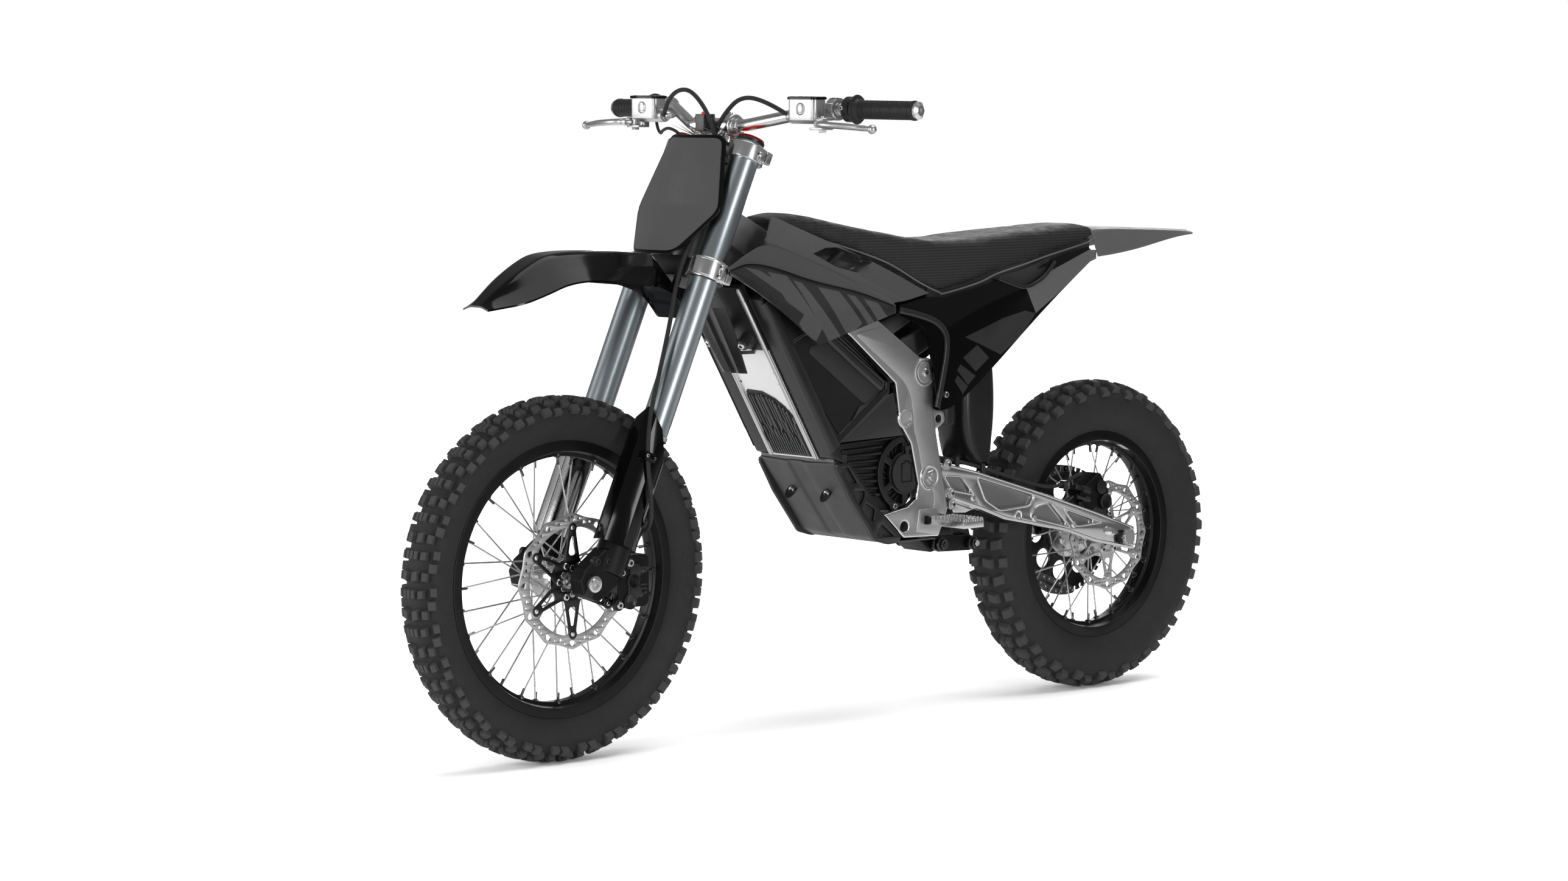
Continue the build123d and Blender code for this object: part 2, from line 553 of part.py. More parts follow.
def power_unit():
    """Battery, cooling plate, motor and its covers."""
    inner = side_plate([(84, 524), (72, 492), (262, 796), (205, 835), (140, 800), (-50, 690), (-60, 622), (-42, 612)],
                       68, -68)
    lobe = side_plate([(72, 489), (100, 500), (276, 792), (262, 800), (214, 822), (126, 756), (58, 708), (-42, 630),
                       (-42, 612), (84, 524)], 104, 68)
    recess = side_plate([(215, 705), (166, 728), (96, 722), (-30, 634), (-30, 622), (84, 540)], 105, 100, 6)
    battery = inner + lobe + mirrored(lobe)
    battery -= recess + mirrored(recess)
    save("battery_case", battery)

    slope = atan2(792 - 500, 276 - 100)
    plate = side_plate([(75, 496), (100, 496), (292, 812), (272, 812)], 64, -64)
    fins = []
    for i in range(15):
        y = -56 + 8 * i
        fins.append(side_plate([(98, 500), (106, 496), (106 + 165 * cos(slope), 496 + 165 * sin(slope)),
                                (98 + 165 * cos(slope), 500 + 165 * sin(slope))], y + 1.5, y - 1.5))
    for fin in fins:
        plate += fin
    save("heat_sink", plate - (inner + lobe + mirrored(lobe)))

    cowl_rows = [
        both_sides([(250, 0, 656), (248, 20, 656), (236, 38, 656)]),
        both_sides([(286, 0, 715), (284, 22, 715), (268, 42, 715)]),
        both_sides([(322, 0, 776), (318, 24, 776), (300, 46, 776)]),
    ]
    cowl = skin(cowl_rows, (-3, 0, 0))
    for side in (1, -1):
        tab = block((210, 262), (side * 20 - 3, side * 20 + 3), (690, 696))
        cowl += tab - plate
    save("air_deflector", cowl)

    case = side_plate([(50, 484), (82, 520), (-42, 608), (-62, 600), (-70, 556), (-96, 518), (-118, 470), (-118, 416),
                       (-100, 394), (-30, 394), (0, 420)], 80, -48)
    for i in range(6):
        z = 424 + 18 * i
        length = 40 - 3 * i
        case += side_plate([(-10, z), (-10, z + 3), (length, z + 3 + length * 0.1), (length, z + length * 0.1)], 84, 80)
    save("motor_case", case - cross_tube(OUTPUT, -60, -40, 9 + RUNNING_GAP))

    ring = cross_tube(MOTOR, 80, 92, 69, 57)
    centre_disc = cross_tube(MOTOR, 84, 92, 40)
    cover = ring + centre_disc
    for i in range(6):
        angle = 60 * i + 30
        spoke = Pos(MOTOR[0], 88, MOTOR[1]) * Rot(0, -angle, 0) * Pos(48, 0, 0) * Box(24, 8, 12)
        cover += spoke
    clear_of_plate = side_plate([(-20, 391), (-32, 391.5), (-90, 401.5), (-110, 415), (-115.5, 440), (-97, 514), (-75, 545),
                                 (0, 545)], 110, 70)
    cover &= clear_of_plate
    hinge_eye = rod((MOTOR[0] - 6.5, 96, MOTOR[1] + 46), (MOTOR[0] - 4, 96, MOTOR[1] + 46), 4)
    hinge_eye += block((MOTOR[0] - 6.5, MOTOR[0] - 4), (91, 96), (MOTOR[1] + 42, MOTOR[1] + 50))
    other_eye = Pos(10.5, 0, 0) * hinge_eye
    cover += hinge_eye + other_eye
    cover += rod((MOTOR[0] - 6.5, 96, MOTOR[1] + 46), (MOTOR[0] + 6.5, 96, MOTOR[1] + 46), 1.5)
    save("fan_cover", cover)
    lid = cross_tube(MOTOR, 92.3, 97, 36)
    lid += rod((MOTOR[0] - 3.7, 96, MOTOR[1] + 46), (MOTOR[0] + 3.7, 96, MOTOR[1] + 46), 4)
    lid += block((MOTOR[0] - 3.7, MOTOR[0] + 3.7), (94, 98), (MOTOR[1] + 30, MOTOR[1] + 46))
    lid -= rod((MOTOR[0] - 10, 96, MOTOR[1] + 46), (MOTOR[0] + 10, 96, MOTOR[1] + 46), 1.55)
    lid &= clear_of_plate
    save("charge_port_lid", lid)


def skid_plate():
    """The grey belly plate and the two windowed side guards."""
    outline = [(92, 487), (84, 487), (44, 428), (-8, 354), (-40, 338.5), (-163, 338.5), (-163, 334), (-38, 334),
               (-6, 345), (56, 424)]
    belly = side_plate(outline, 97, -97)
    guard = side_plate([(90, 487), (62, 482), (-60, 366), (-72, 341), (-60, 334), (-36, 334), (-4, 344), (58, 424)],
                       107, 97)
    for x, z in ((62, 462), (37, 428), (12, 394), (-14, 366)):
        guard -= Pos(x, 100, z) * Rot(0, -52, 0) * Box(24, 20, 11)
    guard -= side_plate(PLATE_OUTLINE, PLATE_OUT + SIDE_GAP, PLATE_IN)
    save("skid_plate", belly, guard, mirrored(guard))


def bodywork():
    """Seat, side covers, shrouds, tail and inner mudguard."""
    top = [(205, 936), (165, 940), (105, 931), (30, 915), (-46, 901), (-123, 887), (-202, 881), (-281, 882),
           (-362, 889), (-444, 894), (-527, 900), (-594, 903), (-634, 903)]
    base = [(-634, 884), (-588, 868), (-472, 849), (-323, 820), (-267, 803), (-183, 787), (-146, 798), (-44, 847),
            (49, 876), (205, 925)]
    profile = side_plate(top + base, 120, -120)
    plan = Polyline((206, 30), (165, 46), (60, 72), (-46, 88), (-150, 97), (-300, 98), (-440, 88), (-590, 68),
                    (-634, 58), (-634, -58), (-590, -68), (-440, -88), (-300, -98), (-150, -97), (-46, -88),
                    (60, -72), (165, -46), (206, -30), close=True)
    seat = profile & (Pos(0, 0, 700) * extrude(make_face(plan), amount=300))
    save("seat", seat)

    cover_rows = [
        [(214, 66, 938), (140, 76, 912), (34, 86, 868), (-44, 92, 838), (-142, 101, 789)],
        [(240, 88, 914), (146, 98, 884), (44, 105, 844), (-40, 107, 812), (-92, 108, 783)],
        [(264, 105, 896), (150, 110, 856), (58, 111, 819), (-4, 110, 795), (-46, 109, 776)],
    ]
    cover = skin(cover_rows, (0, -4, 0))
    cover -= side_plate([(152, 866), (98, 874), (64, 872), (20, 852), (40, 842), (66, 836), (90, 838)], 130, 80)
    save("tank_covers", cover, mirrored(cover))

    shroud_rows = [
        [(372, 128, 850), (266, 109, 893), (150, 114, 853), (58, 115, 816), (-46, 112, 772)],
        [(371, 129, 845), (262, 124, 838), (156, 128, 790), (62, 122, 775), (-47, 113, 766)],
        [(364, 128, 836), (252, 130, 784), (159, 128, 708), (66, 120, 729), (-48, 112, 757)],
    ]
    shroud = skin(shroud_rows, (0, -3.5, 0))
    save("lower_shrouds", shroud, mirrored(shroud))

    panel_rows = [
        [(-60, 108, 768), (-130, 108, 782), (-183, 107, 778), (-267, 106, 794), (-323, 104, 811), (-472, 94, 840),
         (-588, 78, 858)],
        [(-62, 109, 762), (-130, 112, 748), (-176, 113, 720), (-262, 110, 748), (-330, 106, 764), (-480, 93, 806),
         (-600, 79, 850)],
        [(-64, 109, 755), (-128, 112, 735), (-168, 114, 640), (-250, 108, 690), (-332, 103, 725), (-486, 89, 785),
         (-604, 79, 846)],
        [(-66, 109, 750), (-126, 112, 728), (-160, 114, 580), (-240, 104, 602), (-312, 96, 634), (-500, 85, 745),
         (-608, 79, 840)],
    ]
    panel = skin(panel_rows, (0, -3.5, 0))
    panel -= side_plate([(-330, 806), (-390, 794), (-470, 822), (-478, 834), (-400, 824)], 130, 60)
    save("side_panels", panel, mirrored(panel))

    tail_stations = [
        # x, centre z, shoulder y, shoulder z, edge y, edge z
        (-637, 903, 62, 899, 79, 846),
        (-700, 896, 56, 894, 72, 852),
        (-790, 892, 48, 890, 62, 866),
        (-880, 888, 40, 886, 48, 878),
        (-936, 885, 30, 883, 36, 880),
    ]
    rows = []
    for x, z, shoulder_y, shoulder_z, edge_y, edge_z in tail_stations:
        rows.append(both_sides([(x, 0, z), (x, shoulder_y, shoulder_z), (x, edge_y, edge_z)]))
    save("rear_fender", skin(rows, (0, 0, -4)))

    guard = block((-366, -288), (-46, 46), (486, 764)) - block((-367, -291.5), (-42.5, 42.5), (485, 765))
    guard -= block((-400, -340), (-60, 60), (640, 780))
    guard += block((-342, -288), (-46, 46), (740, 744))
    for side in (1, -1):
        guard += block((-338, -322), (side * 20 - 6, side * 20 + 6), (744, 762))
    guard -= cross_tube(UNDER_SEAT_TUBE, -60, 60, 9)
    save("inner_mudguard", guard)


def foot_pegs():
    """Folding pegs on brackets under the frame plates."""
    bracket = side_plate([(-120, 392), (-112, 352), (-168, 342), (-184, 366), (-160, 392)], 102, PLATE_OUT)
    for x in (-178, -138):
        bracket += block((x, x + 6), (100, 109), (364, 380)) + rod((x, 109, 372), (x + 6, 109, 372), 8)
    bracket += rod((-178, 109, 372), (-132, 109, 372), 4)
    save("footpeg_brackets", bracket, mirrored(bracket))
    peg = block((-184, -132), (121, 205), (364, 376))
    peg -= block((-176, -140), (128, 198), (350, 390))
    for i in range(5):
        peg += block((-184, -132), (134 + 14 * i, 138 + 14 * i), (366, 376))
    for i in range(9):
        x = -182 + 6 * i
        for y in (123, 203):
            peg += block((x - 1.5, x + 1.5), (y - 2, y + 2), (376, 381))
    peg += block((-170, -140), (106, 124), (368, 376))
    peg += rod((-170, 109, 372), (-140, 109, 372), 6.5)
    peg -= rod((-190, 109, 372), (-120, 109, 372), 4.05)
    save("footpeg_left", peg)
    save("footpeg_right", mirrored(peg))


# ---------------------------------------------------------------- rear suspension and drive
def swingarm():
    """Two ribbed arms, their bridges and the rocker's lugs."""
    top = [(-150, 476), (-212, 470), (-283, 453), (-441, 406), (-604, 354), (-708, 318)]
    bottom = [(-708, 274), (-599, 297), (-520, 323), (-419, 344), (-359, 356), (-300, 378), (-221, 403), (-170, 424)]
    arm = side_plate(top + bottom + [(-146, 426)], ARM_OUT, ARM_IN)
    arm += cross_tube(PIVOT, ARM_IN, ARM_OUT, 26)
    pockets = [
        [(-200, 448), (-246, 443), (-278, 408), (-222, 420)],
        [(-286, 440), (-436, 396), (-424, 378), (-345, 374), (-308, 396)],
        [(-478, 380), (-440, 374), (-424, 356), (-532, 328)],
        [(-512, 366), (-618, 332), (-548, 330)],
    ]
    for pocket in pockets:
        arm -= side_plate(pocket, ARM_OUT + 1, ARM_OUT - 9, 5)
    slot_x = REAR_AXLE_X
    arm -= block((slot_x - 22, slot_x + 22), (40, 100), (REAR_TYRE_R - 10, REAR_TYRE_R + 10))
    arm = Pos(PIVOT[0], 0, 0) * Rot(0, 0, -ARM_TAPER) * Pos(-PIVOT[0], 0, 0) * arm
    body = arm + mirrored(arm)
    body += cross_tube(PIVOT, -ARM_IN - 4, ARM_IN + 4, 20)
    body += block((-368, -326), (-66, 66), (378, 424))
    for side in (1, -1):
        y_low, y_high = sorted((side * 38.5, side * 50))
        lug = side_plate([(-345, 420), (-345, 384), (-292, 370), (-258, 372), (-258, 398), (-300, 420)], y_high, y_low, 6)
        body += lug
    body += cross_tube(ROCKER_PIVOT, -50, 50, 8)
    body -= cross_tube(PIVOT, -120, 120, AXLE_R + RUNNING_GAP)
    body -= block((-270, -110), (CHAIN_Y - 6.5, CHAIN_Y + 12), (462, 500))
    save("swingarm", body)

    centre = (REAR_AXLE_X, REAR_TYRE_R)
    axle = cross_tube(centre, -112, 112, AXLE_R)
    axle += cross_tube(centre, 57 + SIDE_GAP, 73, 15) + cross_tube(centre, -73, -65 - SIDE_GAP, 15)
    for side in (1, -1):
        y_low, y_high = sorted((side * 73, side * 106))
        axle += block((REAR_AXLE_X - 19, REAR_AXLE_X + 17), (y_low, y_high), (REAR_TYRE_R - 9.9, REAR_TYRE_R + 9.9))
        nut = Plane(origin=(REAR_AXLE_X, side * 106, REAR_TYRE_R), x_dir=(1, 0, 0), z_dir=(0, side, 0))
        axle += extrude(nut * RegularPolygon(15, 6), amount=8)
    save("rear_axle", axle)

    body = block((-34, 34), (38, 72), (-26, 26))
    body = fillet(body.edges().filter_by(Axis.Y), 8)
    body -= block((-40, 40), (51.5, 58.5), (-50, 8))
    body += cross_tube((-18, 0), 72, 78, 14)
    body += rod((34, 50, 10), (62, 50, 14), 9)
    holder = Pos(REAR_AXLE_X + 56, 0, REAR_TYRE_R + 88) * Rot(0, 33, 0) * body
    bracket = side_plate([(-690, 318), (-662, 318), (-600, 345), (-585, 372), (-612, 380), (-660, 352)], 69.5, 60.5)
    save("rear_caliper", holder + bracket)


def chain():
    """The two rows of side plates that run round both sprockets."""
    front_r = CHAIN_PITCH / (2 * sin(pi / DRIVE_TEETH))
    rear_r = CHAIN_PITCH / (2 * sin(pi / DRIVEN_TEETH))
    rear = (REAR_AXLE_X, REAR_TYRE_R)

    def loop(grow):
        a = front_r + grow
        b = rear_r + grow
        dx, dz = rear[0] - OUTPUT[0], rear[1] - OUTPUT[1]
        distance = hypot(dx, dz)
        heading = atan2(dz, dx)
        lean = asin((b - a) / distance)
        up = heading - pi / 2 - lean
        low = heading + pi / 2 + lean

        def on(centre, radius, angle):
            return (centre[0] + radius * cos(angle), centre[1] + radius * sin(angle))

        top_run = Line(on(OUTPUT, a, up), on(rear, b, up))
        rear_arc = ThreePointArc(on(rear, b, up), on(rear, b, heading), on(rear, b, low))
        low_run = Line(on(rear, b, low), on(OUTPUT, a, low))
        front_arc = ThreePointArc(on(OUTPUT, a, low), on(OUTPUT, a, heading + pi), on(OUTPUT, a, up))
        return make_face(Wire([top_run.edge(), rear_arc.edge(), low_run.edge(), front_arc.edge()]))

    band = loop(7) - loop(-6)
    rows = []
    for y in (CHAIN_Y - 4, CHAIN_Y + 6):
        plane = Plane(origin=(0, y, 0), x_dir=(1, 0, 0), z_dir=(0, -1, 0))
        rows.append(extrude(plane * band, amount=2))
    save("chain", *rows)
    save("drive_sprocket", sprocket(OUTPUT, DRIVE_TEETH, (-65, -59), 8)
         + cross_tube(OUTPUT, -72, -42, 9))


def linkage():
    """Rocker, link arms and the shock absorber with its spring."""
    rocker = side_plate([(-225, 404), (-222, 386), (-250, 372), (-288, 300), (-306, 297), (-324, 306), (-296, 400),
                         (-262, 402)], 36, -36, 5)
    rocker &= block((-400, -252), (-60, 60), (200, 500)) + block((-300, -200), (-12, 12), (200, 500))
    rocker -= cross_tube(ROCKER_PIVOT, -60, 60, 8.05)
    rocker -= cross_tube(LINK_REAR, -60, 60, 13)
    rocker -= cross_tube(SHOCK_FOOT, -60, 60, 9.5)
    save("rocker", rocker)

    x_front, z_front = LINK_FRONT
    x_rear, z_rear = LINK_REAR
    arm = side_plate([(x_front + 14, z_front + 8), (x_front + 14, z_front - 8), (x_front, z_front - 15),
                      (x_rear, z_rear - 15), (x_rear - 14, z_rear - 8), (x_rear - 14, z_rear + 8),
                      (x_rear, z_rear + 15), (x_front, z_front + 15)], 48, 38)
    link = arm + mirrored(arm)
    for centre in (LINK_FRONT, LINK_REAR):
        link += cross_tube(centre, -56, 56, 8)
    save("link_arms", link)

    top = Vector(SHOCK_TOP[0], 0, SHOCK_TOP[1])
    foot = Vector(SHOCK_FOOT[0], 0, SHOCK_FOOT[1])
    line = (foot - top).normalized()

    def along(distance):
        return tuple(top + line * distance)

    body = cross_tube(SHOCK_TOP, -14, 14, 16)
    body += rod(along(10), along(160), 22)
    body += rod(along(30), along(38), 35)
    reservoir = rod((-236, 44, 640), (-236, 44, 540), 22)
    body += reservoir + rod((-148, 8, 628), (-236, 44, 628), 9)
    body -= cross_tube(SHOCK_TOP, -20, 20, 8.05)
    body -= rod(along(70), along(170), 8.05)
    save("shock_body", body)
    shaft = rod(along(110), along(238), 8)
    shaft += rod(along(224), along(232), 35)
    clevis = block((-14, 14), (-22, 22), (-10, 34)) - block((-30, 30), (-13, 13), (-40, 22))
    lean = degrees(atan2(line.X, -line.Z))
    clevis = Pos(*tuple(foot)) * Rot(0, -lean, 0) * clevis
    shaft += clevis + cross_tube(SHOCK_FOOT, -20, 20, 5)
    save("shock_shaft", shaft)

    turns = 6
    helix = Helix(pitch=(224 - 38 - 11) / turns, height=224 - 38 - 11, radius=30)
    wire = sweep(Plane(origin=helix @ 0, z_dir=helix % 0) * Circle(5), path=helix)
    save("shock_spring", Plane(origin=along(38 + 5.5), z_dir=line).location * wire)


def rear_brake_line():
    """The hose that lies on the left arm and ends at the rear caliper."""
    route = [(-176, 66, 486), (-222, 72, 478), (-282, 76, 463), (-350, 78, 443), (-430, 80, 419), (-492, 78, 406),
             (-538, 74, 412), (-566, 70, 424), (-590, 66, 426)]
    save("rear_brake_hose", line_hose(route, 3.2))


os.makedirs("parts", exist_ok=True)
front_wheel()
rear_wheel()
fork_lower()
steering()
handlebar()
front_bodywork()
control_lines()
main_frame()
frame_plates()
power_unit()
skid_plate()
bodywork()
foot_pegs()
swingarm()
chain()
linkage()
rear_brake_line()
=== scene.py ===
import json
import math
from contextlib import contextmanager

import bmesh
import bpy
import numpy as np
from mathutils import Matrix, Vector


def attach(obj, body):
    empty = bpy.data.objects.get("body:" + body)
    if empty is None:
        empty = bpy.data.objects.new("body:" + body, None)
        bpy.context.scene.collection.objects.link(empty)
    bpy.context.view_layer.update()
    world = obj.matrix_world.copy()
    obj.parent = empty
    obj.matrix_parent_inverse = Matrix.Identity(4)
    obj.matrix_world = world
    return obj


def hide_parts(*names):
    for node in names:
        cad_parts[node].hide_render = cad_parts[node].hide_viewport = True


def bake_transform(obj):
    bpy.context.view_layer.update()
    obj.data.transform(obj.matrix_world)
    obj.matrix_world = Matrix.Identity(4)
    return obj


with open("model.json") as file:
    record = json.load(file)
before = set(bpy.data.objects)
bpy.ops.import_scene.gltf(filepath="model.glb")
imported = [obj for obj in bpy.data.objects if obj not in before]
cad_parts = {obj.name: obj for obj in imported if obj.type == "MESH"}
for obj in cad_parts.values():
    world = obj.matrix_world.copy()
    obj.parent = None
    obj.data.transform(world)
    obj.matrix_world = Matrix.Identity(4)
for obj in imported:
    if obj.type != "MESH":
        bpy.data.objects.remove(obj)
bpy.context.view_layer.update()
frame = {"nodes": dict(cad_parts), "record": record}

# Lengths in this script are written in millimetres and turned into metres by mm().
FRONT = (658.25, 318.5)
REAR = (-676.75, 300.0)
RAKE = math.radians(24.2)
FORK_Y = 84.0
FORK_ORIGIN = (627.15, 304.52)
PIVOT = (-146.6, 451.0)
SHOCK_TOP = (-132.0, 645.0)
scene = bpy.context.scene


def mm(*point):
    """A point in millimetres as a vector in metres."""
    return Vector(point) / 1000


def fork_point(ahead, left, up):
    """A point in the fork's own frame, in millimetres."""
    s, c = math.sin(RAKE), math.cos(RAKE)
    return (FORK_ORIGIN[0] + ahead * c - up * s, left, FORK_ORIGIN[1] + ahead * s + up * c)


FORK_AXIS = Vector((-math.sin(RAKE), 0, math.cos(RAKE)))
FORK_AHEAD = Vector((math.cos(RAKE), 0, math.sin(RAKE)))
ALONG_Y = (0, 1, 0)
SIDES = (1, -1)

# ---------------------------------------------------------------- camera, floor, light
camera_data = bpy.data.cameras.new("camera")
camera_data.lens = 92.07
camera_data.sensor_width = 36
camera_data.clip_start = 0.1
camera_data.clip_end = 100
camera = bpy.data.objects.new("camera", camera_data)
scene.collection.objects.link(camera)
camera.location = (5.00765, 5.3473, 1.1728)
looking = Vector((-0.67166, -0.73552, -0.08881))
turn = looking.to_track_quat("-Z", "Y").to_matrix() @ Matrix.Rotation(math.radians(0.14), 3, "Z")
camera.rotation_euler = turn.to_euler()
scene.camera = camera


# ---------------------------------------------------------------- materials
class Shader:
    """One node material, with short calls for the nodes that this script uses."""

    def __init__(self, name):
        self.material = bpy.data.materials.new(name)
        self.material.use_nodes = True
        self.tree = self.material.node_tree
        self.bsdf = self.tree.nodes["Principled BSDF"]
        self.place = self.add("ShaderNodeTexCoord").outputs["Object"]

    def add(self, kind, **values):
        node = self.tree.nodes.new(kind)
        for key, value in values.items():
            setattr(node, key, value)
        return node

    def join(self, out, into):
        self.tree.links.new(out, into)

    def set(self, **values):
        for key, value in values.items():
            self.bsdf.inputs[key.replace("_", " ")].default_value = value

    def mapped(self, node, stretch, turn=(0, 0, 0)):
        """Gives a texture node the object's own coordinates, stretched and turned."""
        mapping = self.add("ShaderNodeMapping")
        mapping.inputs["Scale"].default_value = stretch
        mapping.inputs["Rotation"].default_value = turn
        self.join(self.place, mapping.inputs["Vector"])
        self.join(mapping.outputs[0], node.inputs["Vector"])
        return node.outputs["Fac"]

    def noise(self, scale, detail=4.0, stretch=(1, 1, 1)):
        node = self.add("ShaderNodeTexNoise")
        for key, value in (("Scale", scale), ("Detail", detail), ("Roughness", 0.55)):
            node.inputs[key].default_value = value
        return self.mapped(node, stretch)

    def waves(self, scale, across="X", stretch=(1, 1, 1), turn=(0, 0, 0)):
        node = self.add("ShaderNodeTexWave", wave_type="BANDS", bands_direction=across)
        node.inputs["Scale"].default_value = scale
        return self.mapped(node, stretch, turn)

    def math(self, what, a, b=0.5):
        node = self.add("ShaderNodeMath", operation=what)
        for slot, value in zip(node.inputs, (a, b)):
            if isinstance(value, (int, float)):
                slot.default_value = value
            else:
                self.join(value, slot)
        return node.outputs[0]

    def ramp(self, fac, low, high, start=0.35, end=0.65):
        node = self.add("ShaderNodeMapRange")
        for key, value in (("From Min", start), ("From Max", end), ("To Min", low), ("To Max", high)):
            node.inputs[key].default_value = value
        self.join(fac, node.inputs["Value"])
        return node.outputs[0]

    def mix(self, fac, a, b):
        node = self.add("ShaderNodeMix", data_type="RGBA")
        self.join(fac, node.inputs["Factor"])
        slots = [s for s in node.inputs if s.type == "RGBA"]
        for slot, value in zip(slots, (a, b)):
            if isinstance(value, (tuple, list)):
                slot.default_value = (*value, 1) if len(value) == 3 else value
            else:
                self.join(value, slot)
        return [s for s in node.outputs if s.type == "RGBA"][0]

    def edges(self, start=0.52, end=0.6):
        """1 on raised edges, where paint or anodising wears and where a highlight is painted."""
        geometry = self.add("ShaderNodeNewGeometry")
        return self.ramp(geometry.outputs["Pointiness"], 0, 1, start, end)

    def colour(self, value):
        self.join(value, self.bsdf.inputs["Base Color"])

    def roughness(self, value):
        self.join(value, self.bsdf.inputs["Roughness"])

    def bump(self, height, strength, distance):
        node = self.add("ShaderNodeBump")
        node.inputs["Strength"].default_value = strength
        node.inputs["Distance"].default_value = distance
        self.join(height, node.inputs["Height"])
        self.join(node.outputs["Normal"], self.bsdf.inputs["Normal"])


def grey(value, tint=(1, 1, 1)):
    return tuple(value * t for t in tint)


def metal(name, dark, light, rough, brushed=(1, 1, 1), grain=900, height=0.00005, tint=(1, 1, 1), edge_wear_and_highlight=None):
    """Alloy or steel with a brushed or cast grain and brighter or darker edges, which are edge wear and a painted
    highlight.
    """
    s = Shader(name)
    cloud = s.noise(14, 5)
    colour = s.mix(cloud, grey(dark, tint), grey(light, tint))
    # raised edges take a lighter colour: partly wear, partly a painted highlight
    if edge_wear_and_highlight is not None:
        colour = s.mix(s.edges(), colour, grey(edge_wear_and_highlight, tint))
    s.colour(colour)
    fine = s.noise(grain, 3, stretch=brushed)
    s.roughness(s.ramp(fine, rough[0], rough[1], 0.3, 0.7))
    s.bump(fine, 0.35, height)
    s.set(Metallic=1.0)
    return s.material


def plastic(name, dark, light, rough, coat=0.0, grain=1400, height=0.00004, edge_wear_and_highlight=None, level=0.5):
    """Moulded or painted plastic with a fine grain, faint variation and lighter edges that are partly wear and partly a
    painted highlight.
    """
    s = Shader(name)
    colour = s.mix(s.noise(9, 5), grey(dark), grey(light))
    # raised edges take a lighter colour: partly worn paint, partly a painted highlight
    if edge_wear_and_highlight is not None:
        colour = s.mix(s.edges(), colour, grey(edge_wear_and_highlight))
    s.colour(colour)
    fine = s.noise(grain, 2)
    broad = s.noise(30, 4)
    s.roughness(s.ramp(s.math("ADD", s.math("MULTIPLY", fine, 0.5), s.math("MULTIPLY", broad, 0.5)), *rough))
    s.bump(fine, 0.3, height)
    s.set(Coat_Weight=coat, Coat_Roughness=0.06, Specular_IOR_Level=level)
    return s.material


def woven(name, dark, light, rough, pitch):
    """Gloss laminate with a fine diagonal weave under it."""
    s = Shader(name)
    one = s.waves(pitch, "X", turn=(0, math.radians(38), 0))
    two = s.waves(pitch, "X", turn=(0, math.radians(-52), 0))
    weave = s.math("MULTIPLY", one, two)
    cloud = s.math("MULTIPLY", s.noise(11, 4), 0.6)
    s.colour(s.mix(s.math("ADD", weave, cloud), grey(dark), grey(light)))
    s.roughness(s.ramp(s.noise(40, 4), rough[0], rough[1]))
    s.bump(weave, 0.25, 0.00006)
    s.set(Coat_Weight=0.2, Coat_Roughness=0.12)
    return s.material


def seat_fabric():
    """Grippy black cover with fine ribs across the seat and a soft sheen."""
    s = Shader("seat_ribbed")
    ribs = s.waves(62, "Z", stretch=(0.25, 0.3, 1.0))
    across = s.waves(150, "X")
    cell = s.math("MULTIPLY", ribs, s.ramp(across, 0.55, 1.0, 0.1, 0.9))
    s.colour(s.mix(cell, grey(0.006), grey(0.030)))
    s.roughness(s.ramp(s.noise(60, 4), 0.5, 0.72))
    s.bump(cell, 0.6, 0.0005)
    s.set(Sheen_Weight=0.12, Sheen_Roughness=0.4)
    return s.material


def tyre_rubber():
    """Matte rubber with dust in its pores and slightly paler knob edges, partly wear and partly a painted highlight."""
    s = Shader("tyre_rubber")
    cloud = s.noise(22, 6)
    base = s.mix(cloud, grey(0.008), grey(0.020))
    # paler knob edges: partly wear, partly a painted highlight
    s.colour(s.mix(s.edges(0.53, 0.62), base, grey(0.05)))
    fine = s.noise(700, 3)
    s.roughness(s.ramp(fine, 0.62, 0.85, 0.3, 0.7))
    s.bump(s.math("ADD", fine, s.math("MULTIPLY", s.noise(90, 3), 0.8)), 0.5, 0.0003)
    return s.material


def grip_rubber():
    """Soft grip rubber with a small waffle pattern."""
    s = Shader("grip_waffle")
    s.colour(s.mix(s.noise(30, 4), grey(0.008), grey(0.018)))
    waffle = s.math("MULTIPLY", s.waves(95, "Y"), s.math("ADD", s.waves(95, "X"), s.waves(95, "Z")))
    s.roughness(s.ramp(waffle, 0.42, 0.66, 0.1, 0.9))
    s.bump(waffle, 0.5, 0.0006)
    return s.material


